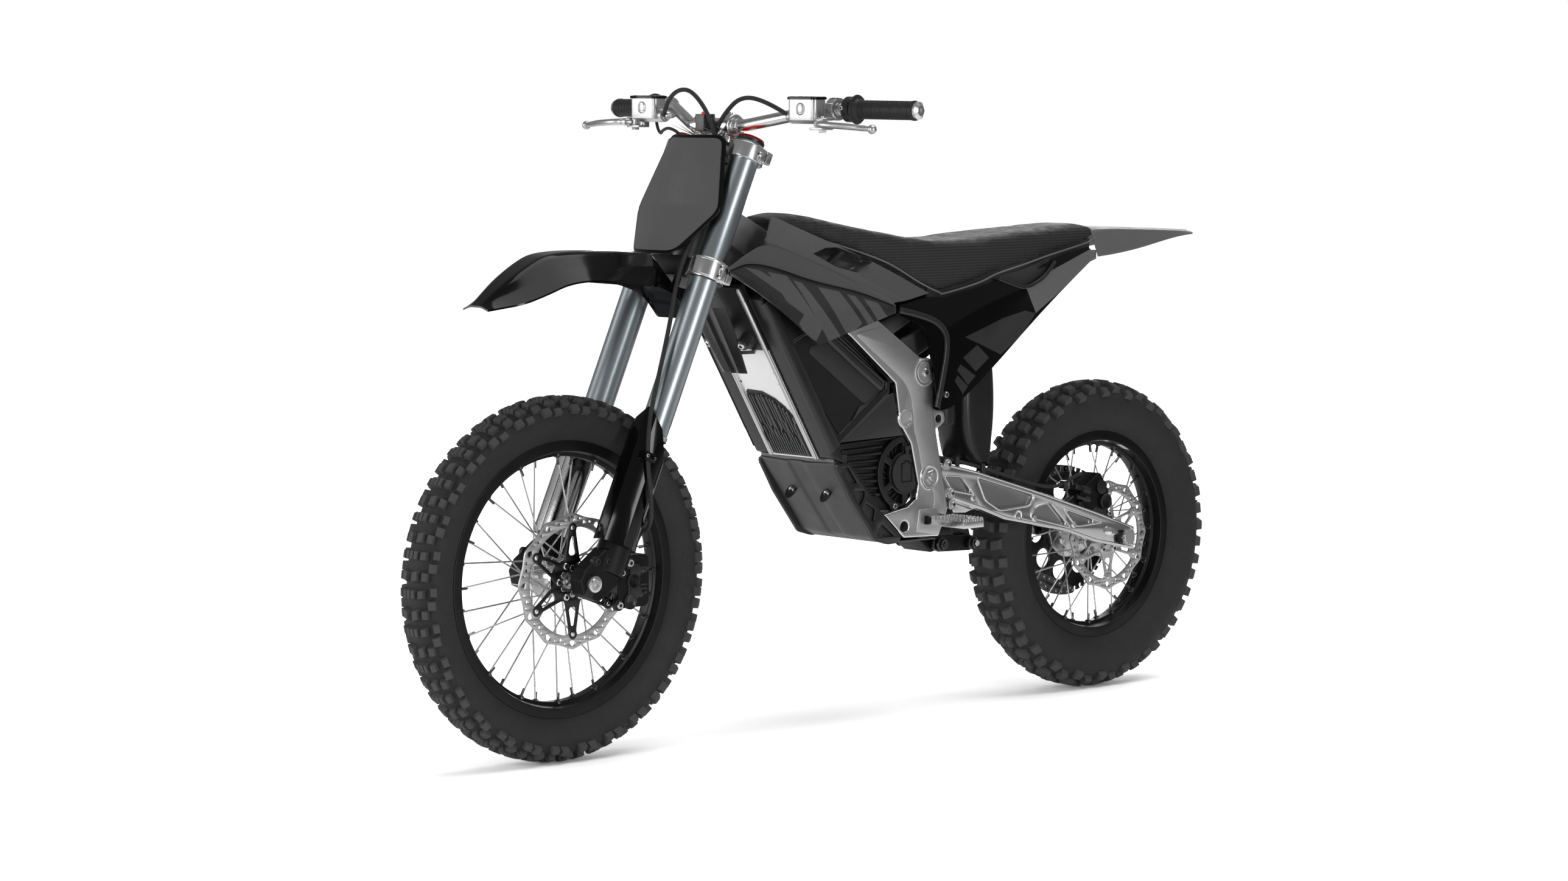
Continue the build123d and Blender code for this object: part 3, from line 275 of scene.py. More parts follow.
M = {
    "tyre": tyre_rubber(),
    "rubber": plastic("black_rubber", 0.008, 0.018, (0.55, 0.8), grain=900, height=0.0001),
    "grip": grip_rubber(),
    # the lighter edge colours given below are partly wear and partly a painted highlight
    "black_alloy": metal("black_alloy", 0.018, 0.035, (0.3, 0.45), edge_wear_and_highlight=0.10),
    "black_cast": metal("black_cast", 0.012, 0.028, (0.45, 0.62), grain=600, height=0.0002, edge_wear_and_highlight=0.07),
    "silver": metal("silver_alloy", 0.66, 0.78, (0.2, 0.28), edge_wear_and_highlight=0.85, height=0.00001),
    "machined_soft": metal("satin_alloy", 0.5, 0.64, (0.3, 0.42), grain=700, height=0.00012, edge_wear_and_highlight=0.75),
    "machined": metal("machined_alloy", 0.6, 0.74, (0.12, 0.24), brushed=(1, 12, 1), edge_wear_and_highlight=0.95),
    "forged": metal("forged_alloy", 0.36, 0.5, (0.34, 0.5), grain=500, height=0.00025, edge_wear_and_highlight=0.72),
    "pocket": metal("pocket_alloy", 0.2, 0.32, (0.42, 0.6), grain=450, height=0.0003),
    "steel": metal("brushed_steel", 0.45, 0.62, (0.2, 0.36)),
    "rotor": metal("rotor_steel", 0.42, 0.58, (0.28, 0.42), brushed=(6, 1, 6)),
    "fork": metal("fork_alloy", 0.42, 0.50, (0.3, 0.36), tint=(0.9, 1.0, 1.05), brushed=(1, 1, 0.05),
                  height=0.000004),
    "chrome": metal("hard_chrome", 0.55, 0.68, (0.06, 0.12)),
    "red": metal("red_alloy", 0.5, 0.7, (0.2, 0.32), tint=(1, 0.03, 0.03)),
    "heat": metal("cooling_plate", 0.5, 0.6, (0.32, 0.44), brushed=(1, 14, 1), edge_wear_and_highlight=0.92),
    "vent": metal("vent_floor", 0.045, 0.075, (0.4, 0.55)),
    "bolt": metal("bolt_steel", 0.6, 0.8, (0.2, 0.3)),
    "gloss": plastic("gloss_black", 0.0015, 0.003, (0.07, 0.13), coat=0.05, level=0.22, height=0.00001),
    "satin": plastic("satin_black", 0.007, 0.013, (0.26, 0.36), coat=0.12, edge_wear_and_highlight=0.03, level=0.4),
    "matte": plastic("matte_black", 0.007, 0.015, (0.5, 0.68), height=0.00012, edge_wear_and_highlight=0.03),
    "plate": plastic("plate_grey", 0.082, 0.102, (0.22, 0.32), coat=0.35),
    "skid": plastic("skid_grey", 0.05, 0.068, (0.42, 0.56), height=0.0001, edge_wear_and_highlight=0.09),
    "tail": plastic("tail_grey", 0.11, 0.145, (0.36, 0.5), height=0.0001, edge_wear_and_highlight=0.16),
    "mid": plastic("shroud_mid", 0.07, 0.09, (0.24, 0.36), coat=0.3),
    "dark": plastic("shroud_dark", 0.020, 0.030, (0.2, 0.32), coat=0.4),
    "weave": woven("woven_grey", 0.075, 0.105, (0.26, 0.38), 180),
    "seat": seat_fabric(),
}


# ---------------------------------------------------------------- mesh helpers
def make(name, mesh, body, materials, replaced=()):
    """A piece from a mesh: it rides on a body and may stand for CAD nodes."""
    piece = bpy.data.objects.new(name, mesh)
    scene.collection.objects.link(piece)
    for key in materials:
        mesh.materials.append(M[key])
    if body:
        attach(piece, body)
    if replaced:
        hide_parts(*replaced)
    return piece


def smooth(mesh, angle=32):
    mesh.shade_smooth()
    mesh.set_sharp_from_angle(angle=math.radians(angle))


def to_mesh(bm, name, angle=32):
    mesh = bpy.data.meshes.new(name)
    bm.to_mesh(mesh)
    bm.free()
    smooth(mesh, angle)
    return mesh


def rounded(bm, width, angle=32, segments=2, index=-1):
    """Rounds the sharp edges of a mesh by a width in millimetres, in a material of their own if one is given."""
    sharp = [e for e in bm.edges if e.is_manifold and e.calc_face_angle(0) > math.radians(angle)]
    bmesh.ops.bevel(bm, geom=sharp, offset=width / 1000, segments=segments, profile=0.6, affect="EDGES",
                    clamp_overlap=False, material=index)


def cad_mesh(node, width=0.0, segments=2, zone=None, angle=32, edge_index=-1):
    """The node's mesh, welded, with whole flat faces and rounded edges.

    zone gives a face's material from its middle, in millimetres, and its normal.
    """
    bm = bmesh.new()
    bm.from_mesh(frame["nodes"][node].data)
    bmesh.ops.remove_doubles(bm, verts=bm.verts, dist=2e-6)
    bmesh.ops.dissolve_limit(bm, angle_limit=math.radians(0.5), verts=bm.verts, edges=bm.edges)
    if zone:
        for face in bm.faces:
            face.material_index = int(zone(face.calc_center_median() * 1000, face.normal))
    if width:
        rounded(bm, width, angle, segments, edge_index)
    return bm


BODY = {n: b for b, nodes in frame["record"]["behaviour"]["bodies"].items() for n in nodes}


def finished(bm, node, materials, angle=30, name=None, blended=False, recalc=True):
    """Closes a mesh into the piece that stands for a CAD node; a blended piece rides on no body."""
    if recalc:
        outward(bm)
    name = name or f"{node}_finished"
    body = None if blended else BODY[node]
    return make(name, to_mesh(bm, name, angle), body, materials, [node])


def added(bm, name, body, materials, angle=30):
    """A piece that stands for no CAD node."""
    outward(bm)
    return make(name, to_mesh(bm, name, angle), body, materials)


def refined(node, materials, width=0.8, zone=None):
    """The CAD node's own shape with rounded edges and better materials."""
    return finished(cad_mesh(node, width, zone=zone), node, materials, 32, recalc=False)


def finish_in_place(node, material):
    """A CAD node that keeps its own mesh and takes a better material."""
    piece = frame["nodes"][node]
    piece.data.materials.clear()
    piece.data.materials.append(M[material])


@contextmanager
def painted(bm, index):
    """Gives a material to as many of the mesh's last faces as are made inside the block."""
    before = len(bm.faces)
    yield
    bm.faces.ensure_lookup_table()
    for face in bm.faces[before:]:
        face.material_index = index


def outward(bm):
    bmesh.ops.recalc_face_normals(bm, faces=bm.faces)


def grid_mesh(bm, rows, closed=False):
    """Quads through rows of points, in millimetres."""
    made = [[bm.verts.new(mm(*p)) for p in row] for row in rows]
    count = len(rows[0])
    for low, high in zip(made, made[1:]):
        for i in range(count if closed else count - 1):
            j = (i + 1) % count
            bm.faces.new((low[i], low[j], high[j], high[i]))
    return made


def capped(bm, rows):
    """A closed tube through rings of points, with both ends filled."""
    made = grid_mesh(bm, rows, closed=True)
    bm.faces.new(list(reversed(made[0])))
    bm.faces.new(made[-1])


def both_sides(half):
    """A row of points from the left edge to the right one, from its right half."""
    return [(x, -y, z) for x, y, z in reversed(half[1:])] + half


def direction(points, i):
    """The way a line heads at one of its points."""
    return (Vector(points[min(i + 1, len(points) - 1)]) - Vector(points[max(i - 1, 0)])).normalized()


def arc(steps):
    """The angles of a full turn, in equal steps."""
    return [2 * math.pi * k / steps for k in range(steps)]


def lathe(bm, outline, centre, steps):
    """A ring of quads: a (radius, y) outline turned about an axle along Y."""
    rows = [[(centre[0] + r * math.cos(a), y, centre[1] + r * math.sin(a)) for r, y in outline] for a in arc(steps)]
    rows.append(rows[0])
    made = grid_mesh(bm, rows)
    bmesh.ops.remove_doubles(bm, verts=made[0] + made[-1], dist=1e-7)


def evaluated(piece):
    """The piece's mesh with its modifiers applied."""
    bpy.context.view_layer.update()
    graph = bpy.context.evaluated_depsgraph_get()
    return bpy.data.meshes.new_from_object(piece.evaluated_get(graph))


def loft(rows, crease_rows=(), crease_cols=(), level=3, corners=()):
    """A smooth sheet over rows of control points, sharp at its border and at the named rows and columns."""
    bm = bmesh.new()
    pinned = bm.verts.layers.float.new("crease_vert")
    crease = bm.edges.layers.float.new("crease_edge")
    made = grid_mesh(bm, rows)
    for r, c in corners:
        made[r][c][pinned] = 1.0
    last_row, last_col = len(made) - 1, len(made[0]) - 1

    def mark(a, b, value):
        bm.edges.get((a, b))[crease] = value

    for r, row in enumerate(made):
        strength = 1.0 if r in (0, last_row) else dict(crease_rows).get(r, 0)
        for a, b in zip(row, row[1:]):
            mark(a, b, strength)
    for c in range(last_col + 1):
        strength = 1.0 if c in (0, last_col) else dict(crease_cols).get(c, 0)
        for low, high in zip(made, made[1:]):
            mark(low[c], high[c], strength)
    mesh = bpy.data.meshes.new("control")
    bm.to_mesh(mesh)
    bm.free()
    piece = bpy.data.objects.new("control", mesh)
    scene.collection.objects.link(piece)
    modifier = piece.modifiers.new("smooth", "SUBSURF")
    modifier.levels = level
    modifier.render_levels = level
    result = evaluated(piece)
    bpy.data.objects.remove(piece)
    bm = bmesh.new()
    bm.from_mesh(result)
    bpy.data.meshes.remove(result)
    outward(bm)
    return bm


def around(faces):
    """The corners and edges of some faces."""
    return list({v for f in faces for v in f.verts}) + list({e for f in faces for e in f.edges})


def stencil(bm, polygon, index):
    """Gives the faces inside a convex polygon in X and Z another material, cutting the mesh along its sides."""
    reach = 0.03
    count = len(polygon)
    centre = Vector((sum(p[0] for p in polygon) / count, 0, sum(p[1] for p in polygon) / count)) / 1000
    planes = []
    for i in range(count):
        a, b = mm(polygon[i][0], 0, polygon[i][1]), mm(polygon[(i + 1) % count][0], 0, polygon[(i + 1) % count][1])
        along = b - a
        normal = Vector((-along.z, 0, along.x)).normalized()
        if (centre - a).dot(normal) < 0:
            normal = -normal
        planes.append((a, normal))

    def inside(face, limit):
        return all((face.calc_center_median() - a).dot(normal) > limit for a, normal in planes)

    for a, normal in planes:
        near = [face for face in bm.faces if inside(face, -reach)]
        geometry = around(near) + near
        bmesh.ops.bisect_plane(bm, geom=geometry, plane_co=a, plane_no=normal, dist=1e-6)
    for face in bm.faces:
        if inside(face, 0):
            face.material_index = index


def flipped(bm):
    """Mirrors a mesh to the other side of the centre plane."""
    for v in bm.verts:
        v.co.y = -v.co.y
    bmesh.ops.reverse_faces(bm, faces=bm.faces)


def ring_points(centre, axis, radius, steps, phase=0.0):
    axis = Vector(axis).normalized()
    side = axis.orthogonal().normalized()
    up = axis.cross(side)
    return [Vector(centre) + (side * math.cos(t + phase) + up * math.sin(t + phase)) * radius for t in arc(steps)]


def turned(bm, centre, axis, profile, steps=32, index=0, phase=0.0, ring=False):
    """A solid of revolution: (distance along axis, radius) pairs from end to end, in millimetres, or a closed ring."""
    axis_dir = Vector(axis).normalized()
    rows = []
    for along, radius in profile:
        spot = Vector(centre) + axis_dir * along
        rows.append(ring_points(spot, axis_dir, max(radius, 0.01), steps, phase))
    with painted(bm, index):
        if ring:
            made = grid_mesh(bm, rows, closed=True)
            for i in range(steps):
                k = (i + 1) % steps
                bm.faces.new((made[-1][i], made[-1][k], made[0][k], made[0][i]))
        else:
            capped(bm, rows)


def socket_bolt(bm, at, axis, radius, height, index=0, socket=1):
    """A cap-head bolt with a hexagon socket, its head standing out along axis."""
    head = [(-1.0, radius), (height - 0.25 * radius, radius), (height, radius * 0.82)]
    head += [(height, 0.5 * radius), (height * 0.45, 0.5 * radius)]
    axis_dir = Vector(axis).normalized()
    rows = [ring_points(Vector(at) + axis_dir * a, axis_dir, r, 24) for a, r in head]
    with painted(bm, index):
        made = grid_mesh(bm, rows, closed=True)
        bm.faces.new(list(reversed(made[0])))
    bm.faces.new(made[-1]).material_index = socket


def block(bm, corners, index):
    """Six faces through eight corners: four round the bottom and four round the top."""
    v = [bm.verts.new(mm(*p)) for p in corners]
    faces = []
    for ids in ((3, 2, 1, 0), (4, 5, 6, 7), (0, 1, 5, 4), (1, 2, 6, 5), (2, 3, 7, 6), (3, 0, 4, 7)):
        faces.append(bm.faces.new([v[i] for i in ids]))
        faces[-1].material_index = index
    return faces


def box_piece(bm, low, high, index=0, taper=0.0):
    """A block with an optional taper on its top face."""
    (x0, y0, z0), (x1, y1, z1) = low, high
    corners = [(x, y, z) for z, t in ((z0, 0), (z1, taper))
               for x, y in ((x0 + t, y0 + t), (x1 - t, y0 + t), (x1 - t, y1 - t), (x0 + t, y1 - t))]
    block(bm, corners, index)


def prism(bm, polygon, y_low, y_high, index=0):
    """A polygon in X and Z, as thick as the two Y values are apart."""
    low = [bm.verts.new(mm(x, y_low, z)) for x, z in polygon]
    high = [bm.verts.new(mm(x, y_high, z)) for x, z in polygon]
    count = len(polygon)
    faces = [bm.faces.new(low), bm.faces.new(list(reversed(high)))]
    for i in range(count):
        j = (i + 1) % count
        faces.append(bm.faces.new((low[j], low[i], high[i], high[j])))
    for face in faces:
        face.material_index = index
    return faces


def round_outline(points, radius, steps=6):
    """A polygon with rounded corners."""
    result = []
    count = len(points)
    for i in range(count):
        before, here, after = (Vector(points[(i + k) % count]) for k in (-1, 0, 1))
        a, b = (before - here), (after - here)
        reach = min(radius, a.length * 0.45, b.length * 0.45)
        a, b = here + a.normalized() * reach, here + b.normalized() * reach
        for k in range(steps + 1):
            t = k / steps
            result.append(tuple(a * (1 - t) ** 2 + here * 2 * t * (1 - t) + b * t * t))
    return result


def circle(centre, radius, steps=24):
    return [(centre[0] + radius * math.cos(t), centre[1] + radius * math.sin(t)) for t in arc(steps)]


def flat_part(bm, loops, y_low, y_high, bevel=0.5, index=0):
    """A flat part with holes: an outline and its openings as closed loops in X and Z."""
    data = bpy.data.curves.new("flat", "CURVE")
    data.dimensions = "2D"
    data.fill_mode = "BOTH"
    data.extrude = ((y_high - y_low) / 2 - bevel) / 1000
    data.bevel_depth = bevel / 1000
    data.bevel_resolution = 1
    data.offset = -bevel / 1000
    for loop in loops:
        spline = data.splines.new("POLY")
        spline.points.add(len(loop) - 1)
        for point, (x, z) in zip(spline.points, loop):
            point.co = (x / 1000, z / 1000, 0, 1)
        spline.use_cyclic_u = True
    piece = bpy.data.objects.new("flat", data)
    scene.collection.objects.link(piece)
    mesh = evaluated(piece)
    bpy.data.objects.remove(piece)
    part = bmesh.new()
    part.from_mesh(mesh)
    bmesh.ops.remove_doubles(part, verts=part.verts, dist=1e-7)
    middle = (y_low + y_high) / 2000
    for v in part.verts:
        v.co = Vector((v.co.x, middle - v.co.z, v.co.y))
    for face in part.faces:
        face.material_index = index
    part.to_mesh(mesh)
    part.free()
    bm.from_mesh(mesh)
    bpy.data.meshes.remove(mesh)


def curve_through(points, steps=8):
    """A smooth line through points (Catmull-Rom)."""
    pts = [Vector(p) for p in points]
    result = []
    for i in range(len(pts) - 1):
        p0, p1, p2, p3 = pts[max(i - 1, 0)], pts[i], pts[i + 1], pts[min(i + 2, len(pts) - 1)]
        for k in range(steps):
            t = k / steps
            result.append(tuple(0.5 * ((2 * p1) + (p2 - p0) * t + (2 * p0 - 5 * p1 + 4 * p2 - p3) * t ** 2
                                       + (3 * p1 - p0 - 3 * p2 + p3) * t ** 3)))
    result.append(tuple(pts[-1]))
    return result


def between(value, table):
    """Straight-line reading of a table of (key, value) pairs."""
    keys = [k for k, _ in table]
    return float(np.interp(value, keys, [v for _, v in table]))


def inset(points, distance):
    """A convex polygon, given the other way round or not, moved inwards by a distance."""
    count = len(points)
    middle = Vector((sum(p[0] for p in points) / count, sum(p[1] for p in points) / count))
    lines = []
    for i in range(count):
        a, b = Vector(points[i]), Vector(points[(i + 1) % count])
        normal = Vector((-(b - a).y, (b - a).x)).normalized()
        if (middle - a).dot(normal) < 0:
            normal = -normal
        lines.append((a + normal * distance, (b - a).normalized()))
    result = []
    for i in range(count):
        (p, d), (q, e) = lines[i - 1], lines[i]
        cross = d.x * e.y - d.y * e.x
        t = ((q - p).x * e.y - (q - p).y * e.x) / cross
        result.append(tuple(p + d * t))
    return result


def curved_panel(bm, outline, place, index=0):
    """A sheet with the given outline in two coordinates, cut into strips and placed by a function."""
    step = 9
    face = bm.faces.new([bm.verts.new(mm(a, 0, b)) for a, b in outline])
    face.material_index = index
    made = [face]
    for values, normal in zip(zip(*outline), (Vector((1, 0, 0)), Vector((0, 0, 1)))):
        value = min(values) + step
        while value < max(values):
            geometry = made + around(made)
            cut = bmesh.ops.bisect_plane(bm, geom=geometry, plane_co=normal * value / 1000, plane_no=normal, dist=1e-7)
            made = [g for g in cut["geom"] if isinstance(g, bmesh.types.BMFace)]
            value += step
    for v in {v for f in made for v in f.verts}:
        v.co = mm(*place(v.co.x * 1000, v.co.z * 1000))
    return made


def solid_sheet(bm, faces, shift):
    """Turns a sheet into a closed slab by adding a shifted copy of it, in millimetres."""
    result = bmesh.ops.extrude_face_region(bm, geom=faces)
    moved = [g for g in result["geom"] if isinstance(g, bmesh.types.BMVert)]
    bmesh.ops.translate(bm, verts=moved, vec=mm(*shift))
    outward(bm)


def sheet_piece(node, rows, shift, materials, name=None, crease_rows=(), crease_cols=(), corners=(), paint=(),
                holes=(), extra=None, mirrored=False):
    """A smooth panel through rows of points, thickened by a shift, with painted and cut regions."""
    hole = 99
    bm = loft(rows, crease_rows, crease_cols, corners=corners)
    for polygon, index in [*paint, *((outline, hole) for outline in holes)]:
        stencil(bm, polygon, index)
    bmesh.ops.delete(bm, geom=[f for f in bm.faces if f.material_index == hole], context="FACES")
    for face in bm.faces:
        face.smooth = True
    solid_sheet(bm, list(bm.faces), shift)
    if extra:
        extra(bm)
    if mirrored:
        flipped(bm)
    finished(bm, node, materials, 36, name=name, recalc=False)


BAND = ((-0.5, -1.5), (-0.5, 0.7), (-0.36, 1), (0.36, 1), (0.5, 0.7), (0.5, -1.5))
DOME = ((-0.5, -1.5), (-0.5, 0.1), (-0.42, 0.5), (-0.3, 0.8), (-0.15, 0.96), (0, 1), (0.15, 0.96), (0.3, 0.8),
        (0.42, 0.5), (0.5, 0.1), (0.5, -1.5))


def strap(bm, path, width, height, index=0, section=BAND, facing=1, closed=False):
    """A raised band that follows a path on the left or right side."""
    points = [Vector(p) for p in path]
    normal = Vector((0, facing, 0))
    rows = []
    for i, p in enumerate(points):
        along = points[(i + 1) % len(points)] - points[i - 1] if closed else direction(points, i)
        across = along.cross(normal).normalized()
        rows.append([p + across * a * width + normal * (b * height if b > 0 else b) for a, b in section])
    with painted(bm, index):
        if closed:
            made = grid_mesh(bm, rows + rows[:1], closed=True)
            bmesh.ops.remove_doubles(bm, verts=made[0] + made[-1], dist=1e-7)
        else:
            capped(bm, rows)


# ---------------------------------------------------------------- hoses and lines
down_leg = [fork_point(*p) for p in (
    (34, 62, 745), (38, 66, 655), (50, 70, 570), (46, 88, 480), (42, 98, 395),
    (38, 106, 310), (26, 122, 235), (-4, 130, 175), (-40, 112, 130))]
front_route = [(268, -167, 1114), (284, -140, 1140), (300, -90, 1162), (318, -30, 1159), (328, 28, 1114),
               (332, 52, 1056)] + down_leg + [(536, 76, 396), (530, 56, 359)]
rear_line = [(262, 166, 1114), (276, 128, 1138), (298, 78, 1152), (316, 48, 1116), (317, 26, 1080), (332, 22, 1040),
             (350, 22, 990), (346, 34, 940), (326, 54, 896), (262, 58, 862), (234, 58, 815.5)]
switch_line = [(238, -224, 1111.9), (239, -220, 1092), (262, -182, 1080), (298, -136, 1088), (320, -90, 1094),
               (324, -48, 1078), (338, -34, 1020), (346, -34, 950), (326, -54, 896), (262, -58, 862),
               (234, -58, 815.5)]
arm_route = [(-176, 66, 486), (-222, 72, 478), (-282, 76, 463), (-350, 78, 443), (-430, 80, 419), (-492, 78, 406),
             (-538, 74, 412), (-566, 70, 424), (-590, 66, 426)]


def smooth_line(points):
    """The points, in metres, of a smooth curve that is guided by points in millimetres."""
    data = bpy.data.curves.new("line", "CURVE")
    data.dimensions = "3D"
    data.resolution_u = 12
    spline = data.splines.new("NURBS")
    spline.points.add(len(points) - 1)
    for point, at in zip(spline.points, points):
        point.co = (*mm(*at), 1)
    spline.order_u = 3
    spline.use_endpoint_u = True
    line = bpy.data.objects.new("line", data)
    scene.collection.objects.link(line)
    path = [tuple(v.co) for v in evaluated(line).vertices]
    bpy.data.objects.remove(line)
    return path


def cord_mesh(name, node, route, radius):
    """A hose as a mesh tube that follows its own smooth line."""
    path = smooth_line(route)
    rows = []
    up = Vector(ALONG_Y)
    for i, p in enumerate(path):
        along = direction(path, i)
        up = (up - along * up.dot(along)).normalized()
        side = along.cross(up)
        rows.append([(Vector(p) + (up * math.cos(t) + side * math.sin(t)) * radius / 1000) * 1000 for t in arc(14)])
    bm = bmesh.new()
    capped(bm, rows)
    outward(bm)
    piece = make(name, to_mesh(bm, name), None, ["rubber"])
    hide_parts(node)
    return piece


front_hose = cord_mesh("front_brake_line", "front_brake_hose", front_route, 3.9)
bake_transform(front_hose)
for piece in (cord_mesh("bar_to_frame_line", "bar_lines", rear_line, 3.9),
              cord_mesh("switch_wire", "bar_lines", switch_line, 2.8)):
    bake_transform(piece)
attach(cord_mesh("rear_brake_line", "rear_brake_hose", arm_route, 3.6), "swingarm")


# ---------------------------------------------------------------- wheels
SPOKES = 32


def knob(bm, centre, angle, base_r, y, tilt, length, width, height, skew=0.0):
    """One tread block standing on the carcass, tilted sideways by tilt and narrowing to its top."""
    radial = Vector((math.cos(angle), 0, math.sin(angle)))
    along = Vector((-math.sin(angle), 0, math.cos(angle)))
    sideways = Vector(ALONG_Y)
    up = radial * math.cos(tilt) + sideways * math.sin(tilt)
    across = sideways * math.cos(tilt) - radial * math.sin(tilt)
    foot = Vector((centre[0], 0, centre[1])) + radial * base_r + sideways * y
    corners = []
    for lift, share in ((-3, 1.12), (height - 1.2, 0.97), (height, 0.88)):
        ring = []
        for a, b in ((-1, -1), (1, -1), (1, 1), (-1, 1)):
            p = foot + up * lift + along * (a * length / 2 * share + b * skew) + across * (b * width / 2 * share)
            ring.append(bm.verts.new(p / 1000))
        corners.append(ring)
    for low, high in zip(corners, corners[1:]):
        for i in range(4):
            j = (i + 1) % 4
            bm.faces.new((low[i], low[j], high[j], high[i]))
    bm.faces.new(corners[-1])


def tyre(node, centre, carcass, tread, count):
    """A carcass turned about the axle, with count rows of tread blocks round it.

    A block is given by its shift along the row in rows, the carcass radius under it, its y, tilt in degrees, length,
    width, height and skew.
    """
    bm = bmesh.new()
    outline = carcass + [(r, -y) for r, y in reversed(carcass[:-1])]
    lathe(bm, outline, centre, 180)
    outward(bm)
    pitch = 2 * math.pi / count
    for i in range(count):
        for shift, base_r, y, tilt, length, width, height, skew in tread:
            for side in SIDES if y else (1,):
                knob(bm, centre, pitch * (i + shift), base_r, side * y, side * math.radians(tilt), length, width,
                     height, side * skew)
    finished(bm, node, ["tyre"], 38, name=f"{node}_treaded")


front_carcass = [(233, 18), (240, 22), (243, 25), (247, 28.5), (258, 34), (270, 38), (283, 38.6), (294, 34.5),
                 (302, 26), (308, 13), (309.5, 0)]
front_tread = [
    (0.0, 309.5, 0, 0, 15, 9, 8.8, 0), (0.0, 309, 9.6, 4, 15, 8, 8.8, 0), (0.0, 305, 22, 24, 14, 11, 9, 0.5),
    (0.06, 292.5, 36, 58, 15, 11, 8.5, 0), (0.46, 308.4, 11, 8, 17, 13, 9, 1.5),
    (0.46, 302.5, 26, 34, 15, 11, 9, -0.5), (0.70, 295, 34.4, 52, 16, 13, 8.5, 0),
]
tyre("front_tyre", FRONT, front_carcass, front_tread, 30)
rear_carcass = [(193, 20), (200, 25), (203, 28), (207, 32.5), (220, 41), (234, 47), (250, 49), (264, 47), (277, 39),
                (286.5, 24), (290, 0)]
rear_tread = [
    (0.0, 289.8, 6.6, 2, 18, 11.5, 10, 0), (0.0, 282.5, 31, 26, 18, 19, 10, 2), (0.5, 288.2, 15, 8, 18, 20, 10, -2),
    (0.5, 275, 39, 44, 19, 16, 9.5, 0),
]
tyre("rear_tyre", REAR, rear_carcass, rear_tread, 26)


def rim_piece(node, centre, nipple_r):
    """The rim with its nipples and their raised seats."""
    bm = cad_mesh(node, 1.2, 3, angle=30)
    for i, angle in enumerate(arc(SPOKES)):
        side = SIDES[i % 2]
        radial = Vector((math.cos(angle), 0, math.sin(angle)))
        at = Vector((centre[0], side * 5, centre[1])) + radial * nipple_r
        lean = (-radial + Vector((0, side * 0.12, 0))).normalized()
        turned(bm, at, lean, [(-3, 6.5), (1.5, 6.0), (3.2, 4.2)], 16, 0)
        turned(bm, at, lean, [(2, 2.6), (6, 2.5), (15, 2.3), (16, 1.8)], 8, 1)
    finished(bm, node, ["black_alloy", "steel"])


rim_piece("front_rim", FRONT, 214)
rim_piece("rear_rim", REAR, 174)
finish_in_place("front_spokes", "steel")
finish_in_place("rear_spokes", "steel")


def rotor(node, centre, radius, band, y_low, y_high, carrier):
    """A wavy brake disc with slots and holes, floating on a six-armed carrier."""
    bore, bolts = 19, 31

    def polar(r, degrees):
        angle = math.radians(degrees)
        return (centre[0] + r * math.cos(angle), centre[1] + r * math.sin(angle))

    loops = [[polar(radius - 5.2 * abs(math.sin(math.radians(9 * k))) ** 1.3, 1.5 * k) for k in range(240)],
             [polar(radius - band - 6 * math.exp(-(((2 * k) % 60 - 30) / 5.5) ** 2), 2 * k) for k in range(180)]]
    for i in range(12):
        a = 30 * i
        slot = [(radius - 4.6, a + 0.5), (radius - 12, a + 4), (radius - 16, a + 2.4), (radius - 13.5, a - 3.6),
                (radius - 6.5, a - 2.2)]
        loops.append(round_outline([polar(*p) for p in slot], 2.2, 3))
        for back, turn, hole in ((9.5, 9, 2.3), (14.5, 14.5, 3.0), (11, 21, 2.5)):
            loops.append(circle(polar(radius - back, a + turn), hole, 14))
    bm = bmesh.new()
    flat_part(bm, loops, y_low, y_high, 0.3, 0)

    button_r = radius - band - 2.5
    star = []
    windows = []
    for i in range(6):
        a = 30 + 60 * i
        root = bore + 22
        star += [polar(root - 4, a - 30), polar(root + 4, a - 20), polar(button_r - 8, a - 5.8),
                 polar(button_r + 1.5, a - 5), polar(button_r + 1.5, a + 5), polar(button_r - 8, a + 5.8),
                 polar(root + 4, a + 20)]
        window = [(button_r - 14, a - 2.4), (button_r - 14, a + 2.4), (root + 9, a + 9.5), (root + 4, a + 6),
                  (root + 4, a - 6), (root + 9, a - 9.5)]
        windows.append(round_outline([polar(*p) for p in window], 2.5, 3))
    inside = [polar(bore + 3 * math.cos(math.radians(6 * k * 6)), 6 * k) for k in range(60)]
    flat_part(bm, [round_outline(star, 5, 3), inside] + windows, y_low + 0.2, y_high - 0.3, 0.4, 1)
    for i in range(6):
        x, z = polar(button_r, 30 + 60 * i)
        span = y_high - y_low
        turned(bm, (x, y_low - 0.3, z), ALONG_Y, [(0, 8.6), (0.3, 9.2), (span + 0.4, 9.2), (span + 0.7, 8.4),
                                                  (span + 0.7, 5), (span + 0.2, 4.4)], 28, 1)
        turned(bm, (x, y_low - 0.4, z), ALONG_Y, [(0, 3.6), (span + 0.8, 3.6), (span + 1.1, 3)], 18, 2)
        x, z = polar(bolts, 60 * i)
        socket_bolt(bm, (x, y_high - 0.4, z), ALONG_Y, 6, 4, 2, 3)
    finished(bm, node, ["rotor", carrier, "silver", "black_cast"])


rotor("front_rotor", FRONT, 118.5, 24, 43, 46.5, "black_alloy")
rotor("rear_rotor", REAR, 107, 22, 53, 57, "rotor")


